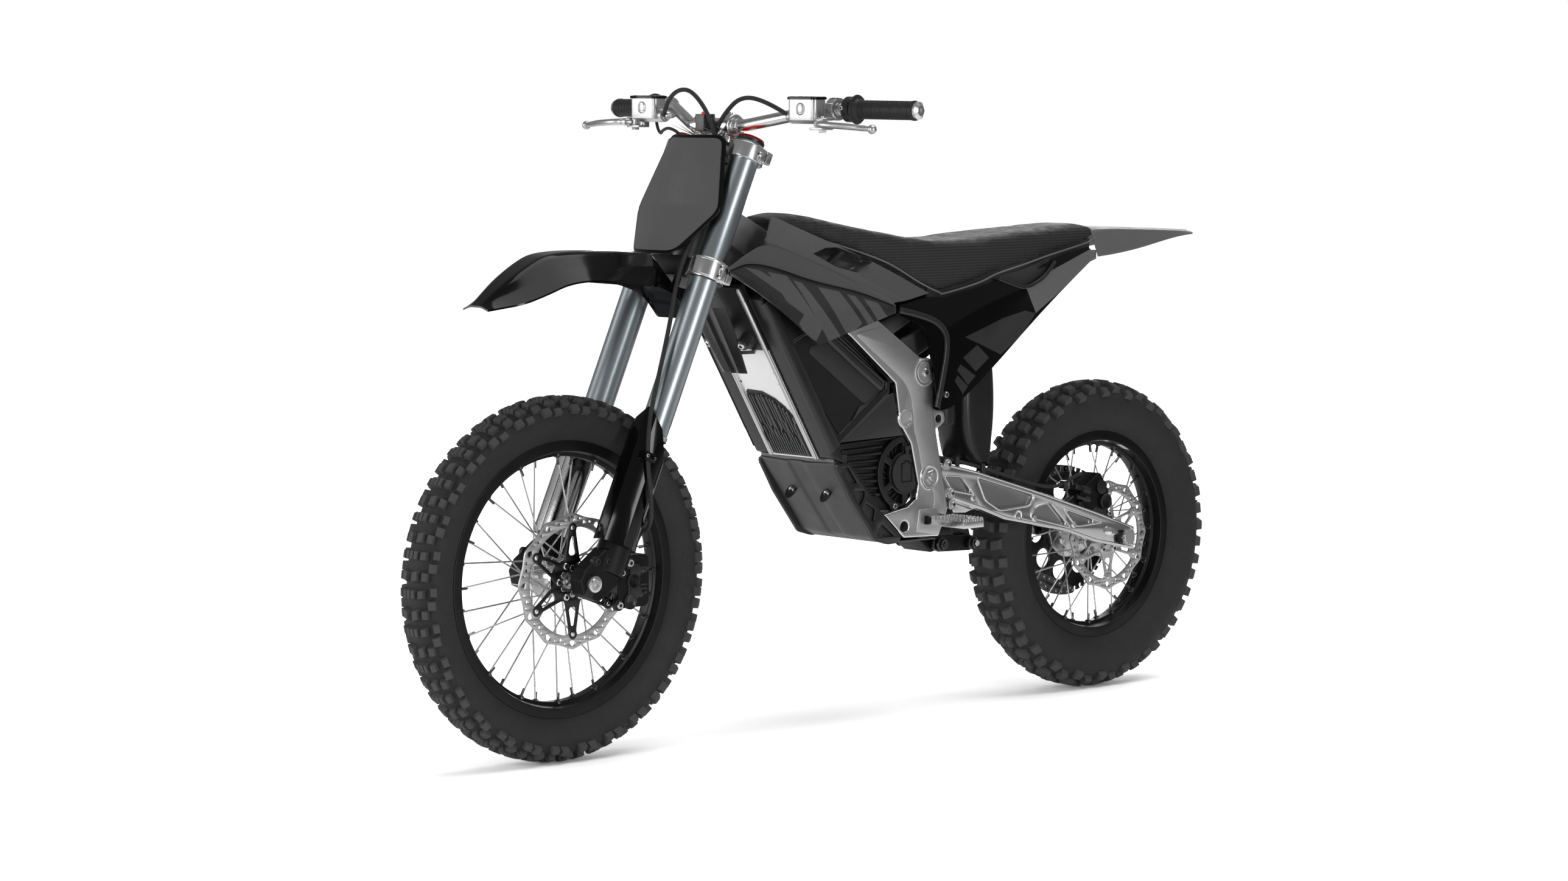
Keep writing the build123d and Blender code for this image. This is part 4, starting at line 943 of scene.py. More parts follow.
def hub_piece(node, centre, flange_r, flange_y, bolts_y):
    """The hub with rounded edges, spoke heads and the disc's bolts."""
    bolts_r, lean_angle = 22.5, math.radians(58)
    bm = cad_mesh(node, 1.2, 3, angle=30)
    for i, angle in enumerate(arc(SPOKES)):
        side, lean = SIDES[i % 2], SIDES[i // 2 % 2]
        angle += lean * lean_angle
        y = side * (flange_y + lean * 3.4)
        at = (centre[0] + flange_r * math.cos(angle), y, centre[1] + flange_r * math.sin(angle))
        turned(bm, at, (0, side * lean, 0), [(-2, 2.6), (1.2, 2.6), (2.2, 1.6)], 10, 1)
    for i in range(6):
        angle = math.radians(60 * i + 30)
        at = (centre[0] + bolts_r * math.cos(angle), bolts_y, centre[1] + bolts_r * math.sin(angle))
        turned(bm, at, ALONG_Y, [(-8, 6), (3, 6), (3.6, 5.2)], 20, 1)
    finished(bm, node, ["silver", "bolt", "black_cast"])


hub_piece("front_hub", FRONT, 33, 27, 43)
hub_piece("rear_hub", REAR, 39, 32, 53.5)
refined("rear_sprocket", ["black_alloy"], 0.5)
refined("drive_sprocket", ["steel"], 0.4)


# ---------------------------------------------------------------- fork, clamps and bars
def fork_tubes():
    """The upper tubes with a rolled lower lip, a seal collar and a thin upper step."""
    bm = bmesh.new()
    for y in (FORK_Y, -FORK_Y):
        at = fork_point(0, y, 0)
        outline = [(278, 24.2), (278, 27.2), (286, 27.6), (288, 26), (300, 26), (571, 26), (573, 26.4), (612, 26.4),
                   (614, 26), (798, 26), (800, 26.4), (831, 26.4), (833, 25.6), (836, 25)]
        turned(bm, at, FORK_AXIS, outline, 64, 0)
        turned(bm, at, FORK_AXIS, [(277, 23.7), (277.6, 25.4), (279, 25.4)], 48, 1)
    finished(bm, "fork_tubes", ["fork", "rubber"])


fork_tubes()


KNURLS = 24


def fork_caps():
    """Red adjuster dials on black collars."""
    bm = bmesh.new()
    for y in (FORK_Y, -FORK_Y):
        at = fork_point(0, y, 836)
        turned(bm, at, FORK_AXIS, [(-0.5, 25.8), (4.6, 25.8), (5.4, 25)], 64, 1)
        rows = []
        for up, radius, wave in ((5, 23.5, 0), (5.6, 24, 0.5), (9, 23.4, 0.5), (10, 21.5, 0), (10.2, 12, 0),
                                 (9, 11, 0)):
            ring = [(radius + wave * math.cos(KNURLS * t), t) for t in arc(4 * KNURLS)]
            rows.append([fork_point(r * math.cos(t), y + r * math.sin(t), 836 + up) for r, t in ring])
        made = grid_mesh(bm, rows, closed=True)
        bm.faces.new(made[-1])
        turned(bm, fork_point(0, y, 844), FORK_AXIS, [(0, 7), (5, 7), (5.6, 6)], 12, 2)
    finished(bm, "fork_caps", ["red", "black_alloy", "silver"])


fork_caps()
finish_in_place("fork_stanchions", "chrome")


def fork_box(bm, low, high, soften):
    """A block whose sides follow the fork leg."""
    (a0, y0, u0), (a1, y1, u1) = low, high
    corners = [(a, y, u) for u in (u0, u1) for a, y in ((a0, y0), (a1, y0), (a1, y1), (a0, y1))]
    faces = block(bm, [fork_point(*p) for p in corners], 0)
    edges = list({e for f in faces for e in f.edges})
    bmesh.ops.bevel(bm, geom=edges, offset=soften / 1000, segments=2, profile=0.6, affect="EDGES",
                    clamp_overlap=True, material=-1)


def fork_feet():
    """The cast axle lugs with their pinch bolts."""
    bm = cad_mesh("fork_feet", 2.2, 3, angle=30)
    for side in SIDES:
        for ahead, up in ((42, 38), (20, 46)):
            x, _, z = fork_point(ahead, 0, up)
            turned(bm, (x, side * 93, z), (0, side, 0), [(0, 8.5), (8.4, 8.5), (9.2, 7.6)], 24, 0)
            socket_bolt(bm, (x, side * 101.8, z), (0, side, 0), 5.6, 4, 1, 2)
        fork_box(bm, (2, side * 100 - 3, 96), (12, side * 100 + 3, 130), 1.2)
        fork_box(bm, (26, side * 84 - 17.5, -24.8), (43, side * 84 + 17.5, -12), 1.5)
    finished(bm, "fork_feet", ["black_cast", "bolt", "matte"], 32)


fork_feet()


def fork_guards():
    """The gloss leg shields with a raised facet and the clip that holds the brake line."""
    section = [(-23, 26, 240), (-9, 33.5, 262), (11, 35, 294), (28, 27, 313), (37.5, 11, 326), (40, -9, 304),
               (34, -23, 288)]
    bm = bmesh.new()
    for side in SIDES:
        skins = []
        for share in (1, 0.925):
            rows = [[fork_point(ahead * share, side * (FORK_Y + left * share), 80 + (top - 80) * t)
                     for ahead, left, top in section] for t in (0, 0.3, 0.65, 1)]
            skins.append(grid_mesh(bm, rows))
        outer, inner = skins
        for row in (0, -1):
            for k in range(len(section) - 1):
                bm.faces.new((outer[row][k], outer[row][k + 1], inner[row][k + 1], inner[row][k]))
        for k in (0, -1):
            for low in range(3):
                bm.faces.new((outer[low][k], outer[low + 1][k], inner[low + 1][k], inner[low][k]))
    outward(bm)
    rounded(bm, 0.9, 14, 2)
    fork_box(bm, (12, 108, 231), (36, 129, 246), 2)
    for ahead in (16, 32):
        socket_bolt(bm, fork_point(ahead, 128.5, 238.5), ALONG_Y, 3.2, 2.4, 1, 0)
    finished(bm, "fork_guards", ["gloss", "bolt"], 24)


fork_guards()


def front_axle():
    """The axle with its black ends and a socket bolt on each side."""
    bm = cad_mesh("front_axle", 0.8, zone=lambda c, n: abs(c.y) > 99.5)
    for side in SIDES:
        socket_bolt(bm, (FRONT[0], side * 106, FRONT[1]), (0, side, 0), 11, 4, 2, 3)
    finished(bm, "front_axle", ["steel", "black_cast", "bolt", "matte"], 32)


front_axle()


def front_caliper():
    """The two-piston caliper: ribbed body, round covers, silver bolts and the line's union."""
    bm = cad_mesh("front_caliper", 1.8, 3, angle=30)
    for x, z in ((539, 311), (546, 276)):
        turned(bm, (x, 64, z), ALONG_Y, [(0, 14.5), (4.4, 14.5), (5.6, 13.2), (5.6, 11.6), (5.0, 11.2)], 40, 1)
    box_piece(bm, (535, 64, 284), (552, 68.6, 303), 1, 1)
    for x, z, r in ((548, 343, 7), (566, 327, 5.6), (572, 271, 6.6)):
        turned(bm, (x, 60, z), ALONG_Y, [(0, r + 3.5), (8, r + 3.5), (8.8, r + 2.4)], 26, 0)
        socket_bolt(bm, (x, 68.6, z), ALONG_Y, r, 4, 2, 3)
    for z in (296, 303, 326, 333):
        box_piece(bm, (508, 40, z - 1.6), (524, 68, z + 1.6), 0, 0.8)
    for x, z in ((510, 330), (514, 288)):
        turned(bm, (x + 14, 62, z - 3), (-1, 0, 0.25), [(0, 7), (9, 7), (10, 5.5), (20, 5.5), (21, 4.4)], 20, 1)
    finished(bm, "front_caliper", ["black_cast", "satin", "bolt", "matte"], 32, recalc=False)


front_caliper()


def triple_clamps():
    """The machined clamps with pinch lugs and bolts, the stem nut and red riser cushions."""
    bm = cad_mesh("triple_clamps", 2.0, 3, lambda c, n: 2 if abs(c.y) < 50 and c.z < 960 else 0, 30)
    for side in SIDES:
        for low, high, bolts in ((577, 608, (584, 601)), (805, 827, (816,))):
            y = side * (FORK_Y + 28)
            fork_box(bm, (-27, min(y, y + side * 11), low), (-14.5, max(y, y + side * 11), high), 2)
            fork_box(bm, (-12.5, min(y, y + side * 11), low), (-1, max(y, y + side * 11), high), 2)
            for up in bolts:
                socket_bolt(bm, fork_point(-1.4, side * (FORK_Y + 34.5), up), FORK_AHEAD, 4.6, 4, 1, 2)
        turned(bm, fork_point(12.8, side * 35, 829), FORK_AXIS, [(0, 19), (6.5, 19), (8, 17), (8.6, 13)], 40, 3)
        for up in (576, 606):
            turned(bm, fork_point(0, side * FORK_Y, up), FORK_AXIS,
                   [(0, 29), (0, 34.4), (0.8, 35), (2.4, 35), (3.2, 34.4), (3.2, 29)], 56, 0, ring=True)
        for ahead in (3, 23):
            socket_bolt(bm, fork_point(ahead, side * 35, 881), FORK_AXIS, 4.2, 4, 1, 2)
    turned(bm, fork_point(-22, 0, 829), FORK_AXIS, [(-1, 17), (6.96, 17), (9, 14.62)], 6, 1)
    turned(bm, fork_point(-22, 0, 837), FORK_AXIS, [(0, 11), (3, 11), (4, 9.6)], 32, 1)
    finished(bm, "triple_clamps", ["silver", "bolt", "matte", "red"], 32, recalc=False)


triple_clamps()
refined("handlebar", ["silver"], 0)


def master_cylinders():
    """The silver reservoirs with black lids, sight glasses, perch clamps and pivot bolts."""
    bm = cad_mesh("master_cylinders", 1.4, 2, lambda c, n: c.z > 1145.9, 30)
    for side in SIDES:
        y0, y1 = sorted((side * 176.4, side * 247.6))
        lid = [(248.4, y0), (283.6, y0), (283.6, y1), (248.4, y1)]
        rows = []
        for z, grow in ((1144.6, 0), (1148.4, 0), (1149.6, -1.2)):
            corners = [(x + (grow if x > 260 else -grow), y + (grow if y == y1 else -grow)) for x, y in lid]
            rows.append([(x, y, z) for x, y in round_outline(corners, 8, 4)])
        made = grid_mesh(bm, rows, closed=True)
        bm.faces.new(made[-1])
        bm.faces.new(list(reversed(made[0])))
        for face in {f for row in made for v in row for f in v.link_faces}:
            face.material_index = 1
        for x, y in ((256, 185), (276, 239)):
            turned(bm, (x, side * y, 1149), (0, 0, 1), [(0, 3.4), (1, 3.4), (1.4, 2.8)], 16, 2)
        turned(bm, (281, side * 212, 1128), (1, 0, 0), [(0, 11), (1.8, 11), (2.6, 9.8), (2.2, 8.6), (1.4, 8.2)], 32, 2)
        turned(bm, (281, side * 212, 1128), (1, 0, 0), [(0, 7.6), (2.2, 7.2), (2.8, 5)], 28, 0)
        for z, up in ((1108, 1), (1092, -1)):
            turned(bm, (264, side * 250, z), (0, 0, up), [(0, 8), (4, 8), (4.8, 7)], 6, 2)
        turned(bm, (262, side * 172, 1114), (0, -side, 0), [(0, 9), (7, 9), (8, 6.5), (13, 6.5), (14, 5)], 24, 0)
        for z in (1118, 1132):
            socket_bolt(bm, (252, side * 216, z), (1, 0, 0), 4, 3.4, 2, 3)
    finished(bm, "master_cylinders", ["machined_soft", "gloss", "bolt", "matte"])


master_cylinders()


def hand_lever(node, side):
    """A forged blade with a ball end, an adjuster and a return stop."""
    bm = cad_mesh(node, 0.5)
    path = curve_through([(266, 254, 1102), (286, 266, 1102), (291, 292, 1101), (285, 332, 1099), (275, 366, 1096)], 6)
    rows = []
    for i, p in enumerate(path):
        along = direction(path, i)
        across = along.cross(Vector((0, 0, 1))).normalized()
        up = across.cross(along).normalized()
        t = i / (len(path) - 1)
        wide, tall = 8.5 - 3.2 * t, 6.6 - 1.6 * t
        rows.append([tuple(Vector(p) + across * wide * math.cos(k) * abs(math.cos(k)) ** -0.3
                           + up * tall * math.sin(k)) for k in (2 * math.pi * (m + 0.25) / 16 for m in range(16))])
    capped(bm, rows)
    turned(bm, (282, 256, 1102), (0.5, 1, 0), [(0, 7), (6, 7), (7, 6)], 12, 1)
    turned(bm, (276, 247, 1102), (0.5, 1, 0), [(0, 3), (10, 3)], 12, 1)
    if side < 0:
        for v in bm.verts:
            v.co.y = -abs(v.co.y)
    finished(bm, node, ["machined_soft", "bolt"], 32)


hand_lever("rear_brake_lever", 1)
hand_lever("front_brake_lever", -1)
refined("power_switch", ["satin"], 1.2)
refined("power_button", ["red"], 0.5)


def grips():
    """Waffle grips with flanges, black housings beside them and silver bar-end plugs."""
    bend, end = Vector((212, 200, 1128)), Vector((180, 396, 1126))
    along = (end - bend).normalized()
    start = bend + along * ((268 - bend.y) / along.y)
    length = (end - start).length
    for node, side in (("left_grip", 1), ("throttle_grip", -1)):
        bm = bmesh.new()
        axis = Vector((along.x, side * along.y, along.z))
        at = Vector((start.x, side * start.y, start.z))
        outline = [(0, 22), (0.6, 25), (2, 26), (3.4, 25), (5, 19.5), (9, 17.2), (12, 16.4)]
        stop = 14
        while stop < length - 10:
            outline += [(stop, 16.5), (stop + 3.4, 16.5), (stop + 3.9, 15.9), (stop + 4.6, 15.9)]
            stop += 5.1
        outline += [(length - 7, 16.2), (length - 6, 17.4), (length - 1.5, 17.4), (length - 0.5, 16.4), (length, 15)]
        turned(bm, at, axis, outline, 48, 0)
        finished(bm, node, ["grip"], 34)

    bm = bmesh.new()
    for side in SIDES:
        axis = Vector((along.x, side * along.y, along.z))
        far = Vector((end.x, side * end.y, end.z))
        near = Vector((start.x, side * start.y, start.z))
        turned(bm, far + axis * 0.8, axis, [(0, 13), (0.6, 15.6), (5, 15.6), (9.5, 9.4), (9.5, 4.2), (7, 3.8)], 40, 0)
        turned(bm, near - axis * 19, axis, [(0, 21), (1.4, 22.5), (14, 22.5), (15.4, 21)], 40, 1)
        socket_bolt(bm, near - axis * 12 + Vector((22, 0, 2)), (1, 0, 0.1), 3.6, 3, 0, 1)
    added(bm, "bar_end_plugs", "steering", ["silver", "satin"], 34)


grips()


def number_plate():
    """A black board with a bowed grey panel set in it."""
    edge = [(876, 436), (915, 405), (951, 377), (1040, 346), (1082, 331)]
    half = [(876, 56), (915, 86), (951, 111), (1040, 84), (1082, 72)]
    outline = [(56, 876), (111, 951), (72, 1082), (-72, 1082), (-111, 951), (-56, 876)]

    def place(lift):
        def spot(y, z):
            bow = 14 * (1 - (y / between(z, half)) ** 2)
            return (between(z, edge) + bow + lift, y, z)
        return spot

    bm = bmesh.new()
    board = curved_panel(bm, round_outline(outline, 16), place(0))
    solid_sheet(bm, board, (-4, 0, 0))
    rounded(bm, 1.2, 50, 2)
    panel = curved_panel(bm, round_outline(inset(outline, 5.5), 15), place(1.6), 1)
    solid_sheet(bm, panel, (-2.4, 0, 0))
    finished(bm, "number_plate", ["gloss", "plate"], 40)


number_plate()


def front_fender():
    """The long gloss fender with a raised middle, a kinked beak and dropped skirts."""
    stations = [
        (831, 797, 18, 796, 34, 791, 0),
        (805, 816, 29, 808, 47, 796, 2),
        (775, 836, 40, 820, 60, 801, 4),
        (745, 853, 46, 834, 66, 811, 5),
        (714, 868, 50, 848, 71, 822, 6),
        (690, 876, 52, 855, 73, 832, 6),
        (640, 880, 54, 859, 74, 838, 5),
        (590, 880, 53, 858, 72, 834, 4),
        (540, 880, 52, 857, 69, 828, 3),
        (470, 877, 48, 853, 56, 822, 0),
        (440, 850, 44, 838, 50, 812, 0),
        (416, 812, 42, 810, 48, 800, 0),
        (391, 763, 38, 763, 44, 765, 0),
    ]
    rows = []
    for x, z, ridge_y, ridge_z, edge_y, edge_z, lift in stations:
        half = [(x, 0, z + lift), (x, ridge_y * 0.48, z + lift), (x, ridge_y * 0.66, z), (x, ridge_y, ridge_z),
                (x, edge_y, edge_z)]
        rows.append(both_sides(half))

    def pad(bm):
        for side in SIDES:
            turned(bm, fork_point(11, side * 26, 573), -FORK_AXIS, [(0, 7), (22, 7), (24, 6)], 20, 0)

    sheet_piece("front_fender", rows, (0, 0, -3.2), ["gloss"], crease_rows=((9, 0.5),),
                crease_cols=((1, 0.85), (2, 0.5), (6, 0.5), (7, 0.85), (3, 0.35), (5, 0.35)), extra=pad)


front_fender()

# ---------------------------------------------------------------- frame, power unit and bodywork
def frame_plates():
    """The forged side plates: a raised inner field, boss rings, bores and bolts."""
    bm = cad_mesh("frame_plates", 3.0, 3, edge_index=3)
    field = [(44, 722), (-30, 668), (-80, 631), (-98, 604), (-103, 575), (-105, 545), (-118, 505), (-126, 470),
             (-130, 452), (-144, 438), (-157, 420), (-159, 398), (-150, 384), (-172, 352), (-188, 392), (-171, 476),
             (-148, 588), (-152, 618), (-150, 648), (-110, 673), (-28, 733)]
    lug = [(-146, 586), (-164, 574), (-186, 570), (-190, 552), (-176, 542), (-156, 536), (-140, 530)]
    for side in SIDES:
        flat_part(bm, [round_outline(field, 14, 4)], *sorted((side * 98, side * 101.6)), 1.1, 0)
        out = (0, side, 0)
        for (x, y, z), steps, index, profile in (
                ((SHOCK_TOP[0], 100, SHOCK_TOP[1]), 56, 0,
                 [(0, 26.4), (3.4, 26.4), (4.4, 25.2), (4.4, 22.5), (3.2, 21.6)]),
                ((SHOCK_TOP[0], 100, SHOCK_TOP[1]), 56, 0, [(0, 20.4), (3.8, 20.4), (4.6, 19.4)]),
                ((PIVOT[0], 100, PIVOT[1]), 48, 0, [(0, 21.5), (3.6, 21.5), (4.6, 20.4), (4.6, 16.4), (2.4, 15.6)]),
                ((PIVOT[0], 100, PIVOT[1]), 6, 1, [(0, 13.4), (5.2, 13.4), (6.2, 12.4)]),
                ((PIVOT[0], 104, PIVOT[1]), 24, 1, [(0, 6.5), (4.6, 6.5), (5.4, 5.6), (5.4, 3), (3, 2.8)]),
                ((-86, 99, 562), 40, 0, [(0, 17), (2.4, 17), (3.2, 16), (3.2, 12.2), (2, 11.2), (-9, 10.8)])):
            turned(bm, (x, side * y, z), out, profile, steps, index)
        socket_bolt(bm, (SHOCK_TOP[0], side * 104.4, SHOCK_TOP[1]), out, 8.4, 4.4, 1, 2)
        flat_part(bm, [round_outline(lug, 6), circle((-173, 557), 7.5)], *sorted((side * 85, side * 97)), 1.2, 0)
        for x, z, r in ((-68, 581, 5.4), (-207, 469, 6), (-216, 415, 5.6), (-219, 394, 5.6)):
            turned(bm, (x, side * 82, z), out, [(0, r + 4), (6, r + 4), (7, r + 3)], 28, 0)
            socket_bolt(bm, (x, side * 88.6, z), out, r, 4.4, 1, 2)
    finished(bm, "frame_plates", ["forged", "bolt", "matte", "machined"])


def battery_case():
    """The battery's shell: rounded front rails, a sunken field with an inlay and a raised bar."""
    bm = cad_mesh("battery_case", 4.0, 4)
    panel = [(157, 693), (154, 705), (133, 709), (106, 709), (-33, 616), (-12, 602), (7, 593), (24, 597)]
    facet = [(81, 528), (-56, 611), (-64, 581), (-72, 549), (-86, 531)]
    for side in SIDES:
        flat_part(bm, [round_outline(panel, 9, 4)], *sorted((side * 97, side * 100.9)), 0.5, 1)
        strap(bm, [(118, side * 103, 722), (50, side * 103, 672), (-22, side * 102, 622)], 13, 3.4, 0, DOME, side)
        strap(bm, [(95, side * 103.4, 516), (180, side * 103.4, 657), (261, side * 103.4, 790)], 27, 4.2, 0, DOME, side)
        low = [bm.verts.new(mm(x, side * 79, z)) for x, z in facet]
        high = [bm.verts.new(mm(x, side * y, z)) for (x, z), y in zip(facet, (103.5, 98, 97, 97, 94))]
        ridge = bm.verts.new(mm(33, side * 102, 591))
        bm.faces.new((high[0], ridge, high[1])).material_index = 1
        for k in (1, 2, 3):
            bm.faces.new((high[0], high[k], high[k + 1]))
        for k in range(1, 5):
            m = (k + 1) % 5
            bm.faces.new((low[k], low[m], high[m], high[k]))
    finished(bm, "battery_case", ["satin", "matte"])


def heat_sink():
    """The cooling plate: bright upper half, dark lower field with jogged fins, rounded side bars."""
    along = Vector((192, 0, 316)).normalized()
    out = Vector((along.z, 0, -along.x))
    foot = Vector((100, 0, 498))

    def at(y, s, lift):
        return tuple(foot + along * s + out * lift + Vector((0, y, 0)))

    def slab(outline, low, high, index):
        rows = [[at(y, s, low) for y, s in outline], [at(y, s, high - 0.5) for y, s in outline]]
        count = len(outline)
        middle = (sum(p[0] for p in outline) / count, sum(p[1] for p in outline) / count)
        rows.append([at(y + (0.6 if y < middle[0] else -0.6), s + (0.6 if s < middle[1] else -0.6), high)
                     for y, s in outline])
        with painted(bm, index):
            capped(bm, rows)

    def fin(points, width, height, index):
        rows = []
        for i, p in enumerate(points):
            heading = direction(points, i)
            half = Vector((heading.y, -heading.x)) * width / 2
            rows.append([at(*(Vector(p) + half * share), lift)
                         for share, lift in ((1, 0.8), (0.6, height), (-0.6, height), (-1, 0.8))])
        with painted(bm, index):
            made = grid_mesh(bm, rows)
            bm.faces.new(made[0])
            bm.faces.new(list(reversed(made[-1])))

    bm = bmesh.new()
    slab([(-64, -2), (64, -2), (64, 234), (-64, 234)], -12, 0, 0)
    slab([(-64, 234), (64, 234), (64, 367), (-64, 367)], -12, 0.6, 4)
    slab([(-50, 2), (50, 2), (50, 92), (38, 112), (22, 128), (-6, 142), (-44, 144), (-50, 138)], -1, 1.2, 1)
    for side in SIDES:
        rows = []
        for s in (-1, 3, 180, 360, 366):
            grow = 0.5 if s in (-1, 366) else 1
            rows.append([at(side * (59 + 4.6 * grow * math.cos(t)), s, 1 + 4.4 * grow * math.sin(t))
                         for t in arc(16)])
        capped(bm, rows)
        for s in (160, 184):
            turned(bm, at(side * 51.5, s, -0.4), out, [(0, 2.3), (0.6, 2.3)], 14, 3)
    count, pitch = 16, 6.2
    for k in range(count):
        y = (k - (count - 1) / 2) * pitch
        top = between(y, [(-50, 134), (-6, 137), (22, 122), (38, 106), (50, 88)])
        jog = 42 + 6 * ((k * 5) % 7)
        step = pitch * 0.5 if k % 3 else -pitch * 0.5
        if k % 4 == 1:
            runs = [[(y, 6), (y, jog - 6)], [(y, jog + 3), (y, top)]]
        elif k % 4 == 3:
            runs = [[(y, 6), (y, jog), (y - step, jog + 6), (y - step, top - 4)]]
        else:
            runs = [[(y, 6), (y, jog - 14), (y + step, jog - 8), (y + step, jog + 8), (y, jog + 14), (y, top)]]
        for run in runs:
            fin(run, 1.9, 4.8, 2)
    finished(bm, "heat_sink", ["heat", "vent", "pocket", "matte", "satin"])


def air_deflector():
    """The satin cowl under the head, with its ridges, tabs and bolts."""
    rows = []
    for x, z, wide, back in ((250, 656, 32, 5), (268, 685, 37, 7), (286, 715, 41, 10), (322, 776, 46, 15)):
        half = [(x + 3, 0, z), (x - 2, wide * 0.22, z), (x + 1.5, wide * 0.6, z), (x - back, wide, z)]
        rows.append(both_sides(half))
    bm = loft(rows, crease_cols=((1, 0.8), (2, 0.7), (3, 0.8), (4, 0.7), (5, 0.8)), level=2)
    solid_sheet(bm, list(bm.faces), (-3, 0, 0))
    for side in SIDES:
        low, high = sorted((side * 17, side * 23))
        box_piece(bm, (210, low, 690), (272, high, 696), 0, 0.5)
        turned(bm, (250, side * 42, 722), Vector((0.75, side * 0.1, -0.6)), [(0, 12), (22, 12), (24, 10.5)], 28, 0)
        socket_bolt(bm, Vector((250, side * 42, 722)) + Vector((0.75, side * 0.1, -0.6)).normalized() * 23,
                    Vector((0.75, side * 0.1, -0.6)), 7, 3.6, 1, 2)
    finished(bm, "air_deflector", ["satin", "bolt", "matte"])


def motor_case():
    """The motor housing with its long cooling ribs and cover screw."""
    outline = [(50, 484), (82, 520), (-42, 608), (-62, 600), (-70, 556), (-96, 518), (-118, 470), (-118, 416),
               (-100, 394), (-30, 394), (0, 420)]
    bm = bmesh.new()
    flat_part(bm, [outline], -48, 80, 1.5, 0)
    turned(bm, (-93, -46, 461), (0, -1, 0), [(0, 52), (6, 52), (8, 49)], 56, 0)
    ribs = [((66, 521), (-84, 527)), ((58, 509), (-40, 512)), ((49, 499), (-36, 500)), ((42, 487), (-34, 487)),
            ((33, 475), (-31, 474)), ((20, 463), (-29, 462)), ((8, 451), (-28, 450)), ((-2, 438), (-29, 437)),
            ((-13, 426), (-31, 425))]
    for k, ((x0, z0), (x1, z1)) in enumerate(ribs):
        lift = 7 if k % 2 == 0 else 3.5
        path = [(x0, 79, z0), (x0 - 6, 80, z0), ((x0 + x1) / 2, 80 + lift * 0.5, (z0 + z1) / 2),
                (x1, 80 + lift * 0.7, z1)]
        strap(bm, path, 6, 3.6, 0, DOME)
    socket_bolt(bm, (-68, 88, 401), ALONG_Y, 6, 5, 1, 2)
    turned(bm, (-68, 79, 401), ALONG_Y, [(0, 10), (9, 10), (10, 9)], 28, 0)
    finished(bm, "motor_case", ["black_cast", "bolt", "matte"])


def fan_cover():
    """The vented ring over the motor with blades behind it."""
    bm = cad_mesh("fan_cover", 1.2, 3)
    hub, inner, outer = Vector((-93, 461)), 41, 57.5
    for a in arc(28):
        lean = a + 0.18
        root = hub + Vector((math.cos(a), math.sin(a))) * inner
        tip = hub + Vector((math.cos(lean), math.sin(lean))) * outer
        half = Vector((-math.sin(a), math.cos(a))) * 0.8
        blade = [root - half, tip - half, tip + half, root + half]
        if all(x > -104 or z > 500 for x, z in blade):
            prism(bm, blade, 80, 84, 1)
    finished(bm, "fan_cover", ["satin", "black_alloy"])


def charge_port_lid():
    """The round flap with a plain battery outline on it."""
    bm = cad_mesh("charge_port_lid", 1.0, 3)
    cell = [(-105, 444), (-78, 444), (-78, 480), (-85, 480), (-85, 484), (-98, 484), (-98, 480), (-105, 480)]
    inside = [(-103, 446), (-80, 446), (-80, 478), (-87, 478), (-87, 482), (-96, 482), (-96, 478), (-103, 478)]
    flat_part(bm, [cell, inside], 96.6, 97.7, 0.2, 1)
    finished(bm, "charge_port_lid", ["matte", "gloss"])


refined("main_frame", ["forged", "black_cast"], 1.6, lambda c, n: c.z < 392 or (c.x > 150 and c.z < 850))
frame_plates()
battery_case()
heat_sink()
air_deflector()
motor_case()
fan_cover()
charge_port_lid()


def hand(mirrored):
    return "right" if mirrored else "left"


def tank_cover(mirrored):
    """The cover beside the seat's nose: woven top, lighter tail and a dark scoop."""
    rows = [
        [(214, 66, 938), (176, 74, 921), (84, 84, 886), (-20, 91, 848), (-142, 101, 790)],
        [(232, 80, 924), (176, 88, 904), (84, 98, 868), (-24, 103, 826), (-118, 105, 786)],
        [(250, 95, 907), (170, 103, 879), (84, 107, 845), (-24, 109, 805), (-80, 108, 779)],
        [(264, 105, 896), (162, 109, 859), (70, 111, 824), (-20, 110, 792), (-46, 109, 776)],
        [(258, 103, 876), (158, 105, 839), (68, 106, 804), (-22, 106, 772), (-48, 105, 760)],
    ]
    scoop = [(150, 870), (111, 879), (79, 879), (0, 852), (44, 833), (97, 845)]

    def tray(bm):
        outline = round_outline(scoop, 9, 3)
        count = len(outline)
        middle = (80, 857)
        rings = []
        for depth, share in ((2.5, 1.04), (14, 0.92), (18, 0.82)):
            rings.append([bm.verts.new(mm(middle[0] + (x - middle[0]) * share,
                                          between(z, [(824, 111), (845, 107), (868, 98), (886, 84)]) - depth,
                                          middle[1] + (z - middle[1]) * share)) for x, z in outline])
        for low, high in zip(rings, rings[1:]):
            for i in range(count):
                k = (i + 1) % count
                bm.faces.new((low[i], low[k], high[k], high[i])).material_index = 1
        bm.faces.new(rings[-1]).material_index = 1
        prism(bm, [(116, 846), (72, 872), (66, 868), (106, 842)], 84, 96, 1)

    lighter = [(26, 846), (2, 851), (-142, 792), (-84, 776), (40, 828)]
    sheet_piece("tank_covers", rows, (0, -4, 0), ["weave", "dark", "mid"], f"tank_cover_{hand(mirrored)}",
                crease_rows=((2, 0.4), (3, 0.9)), holes=[scoop], extra=tray, mirrored=mirrored, paint=[(lighter, 2)])


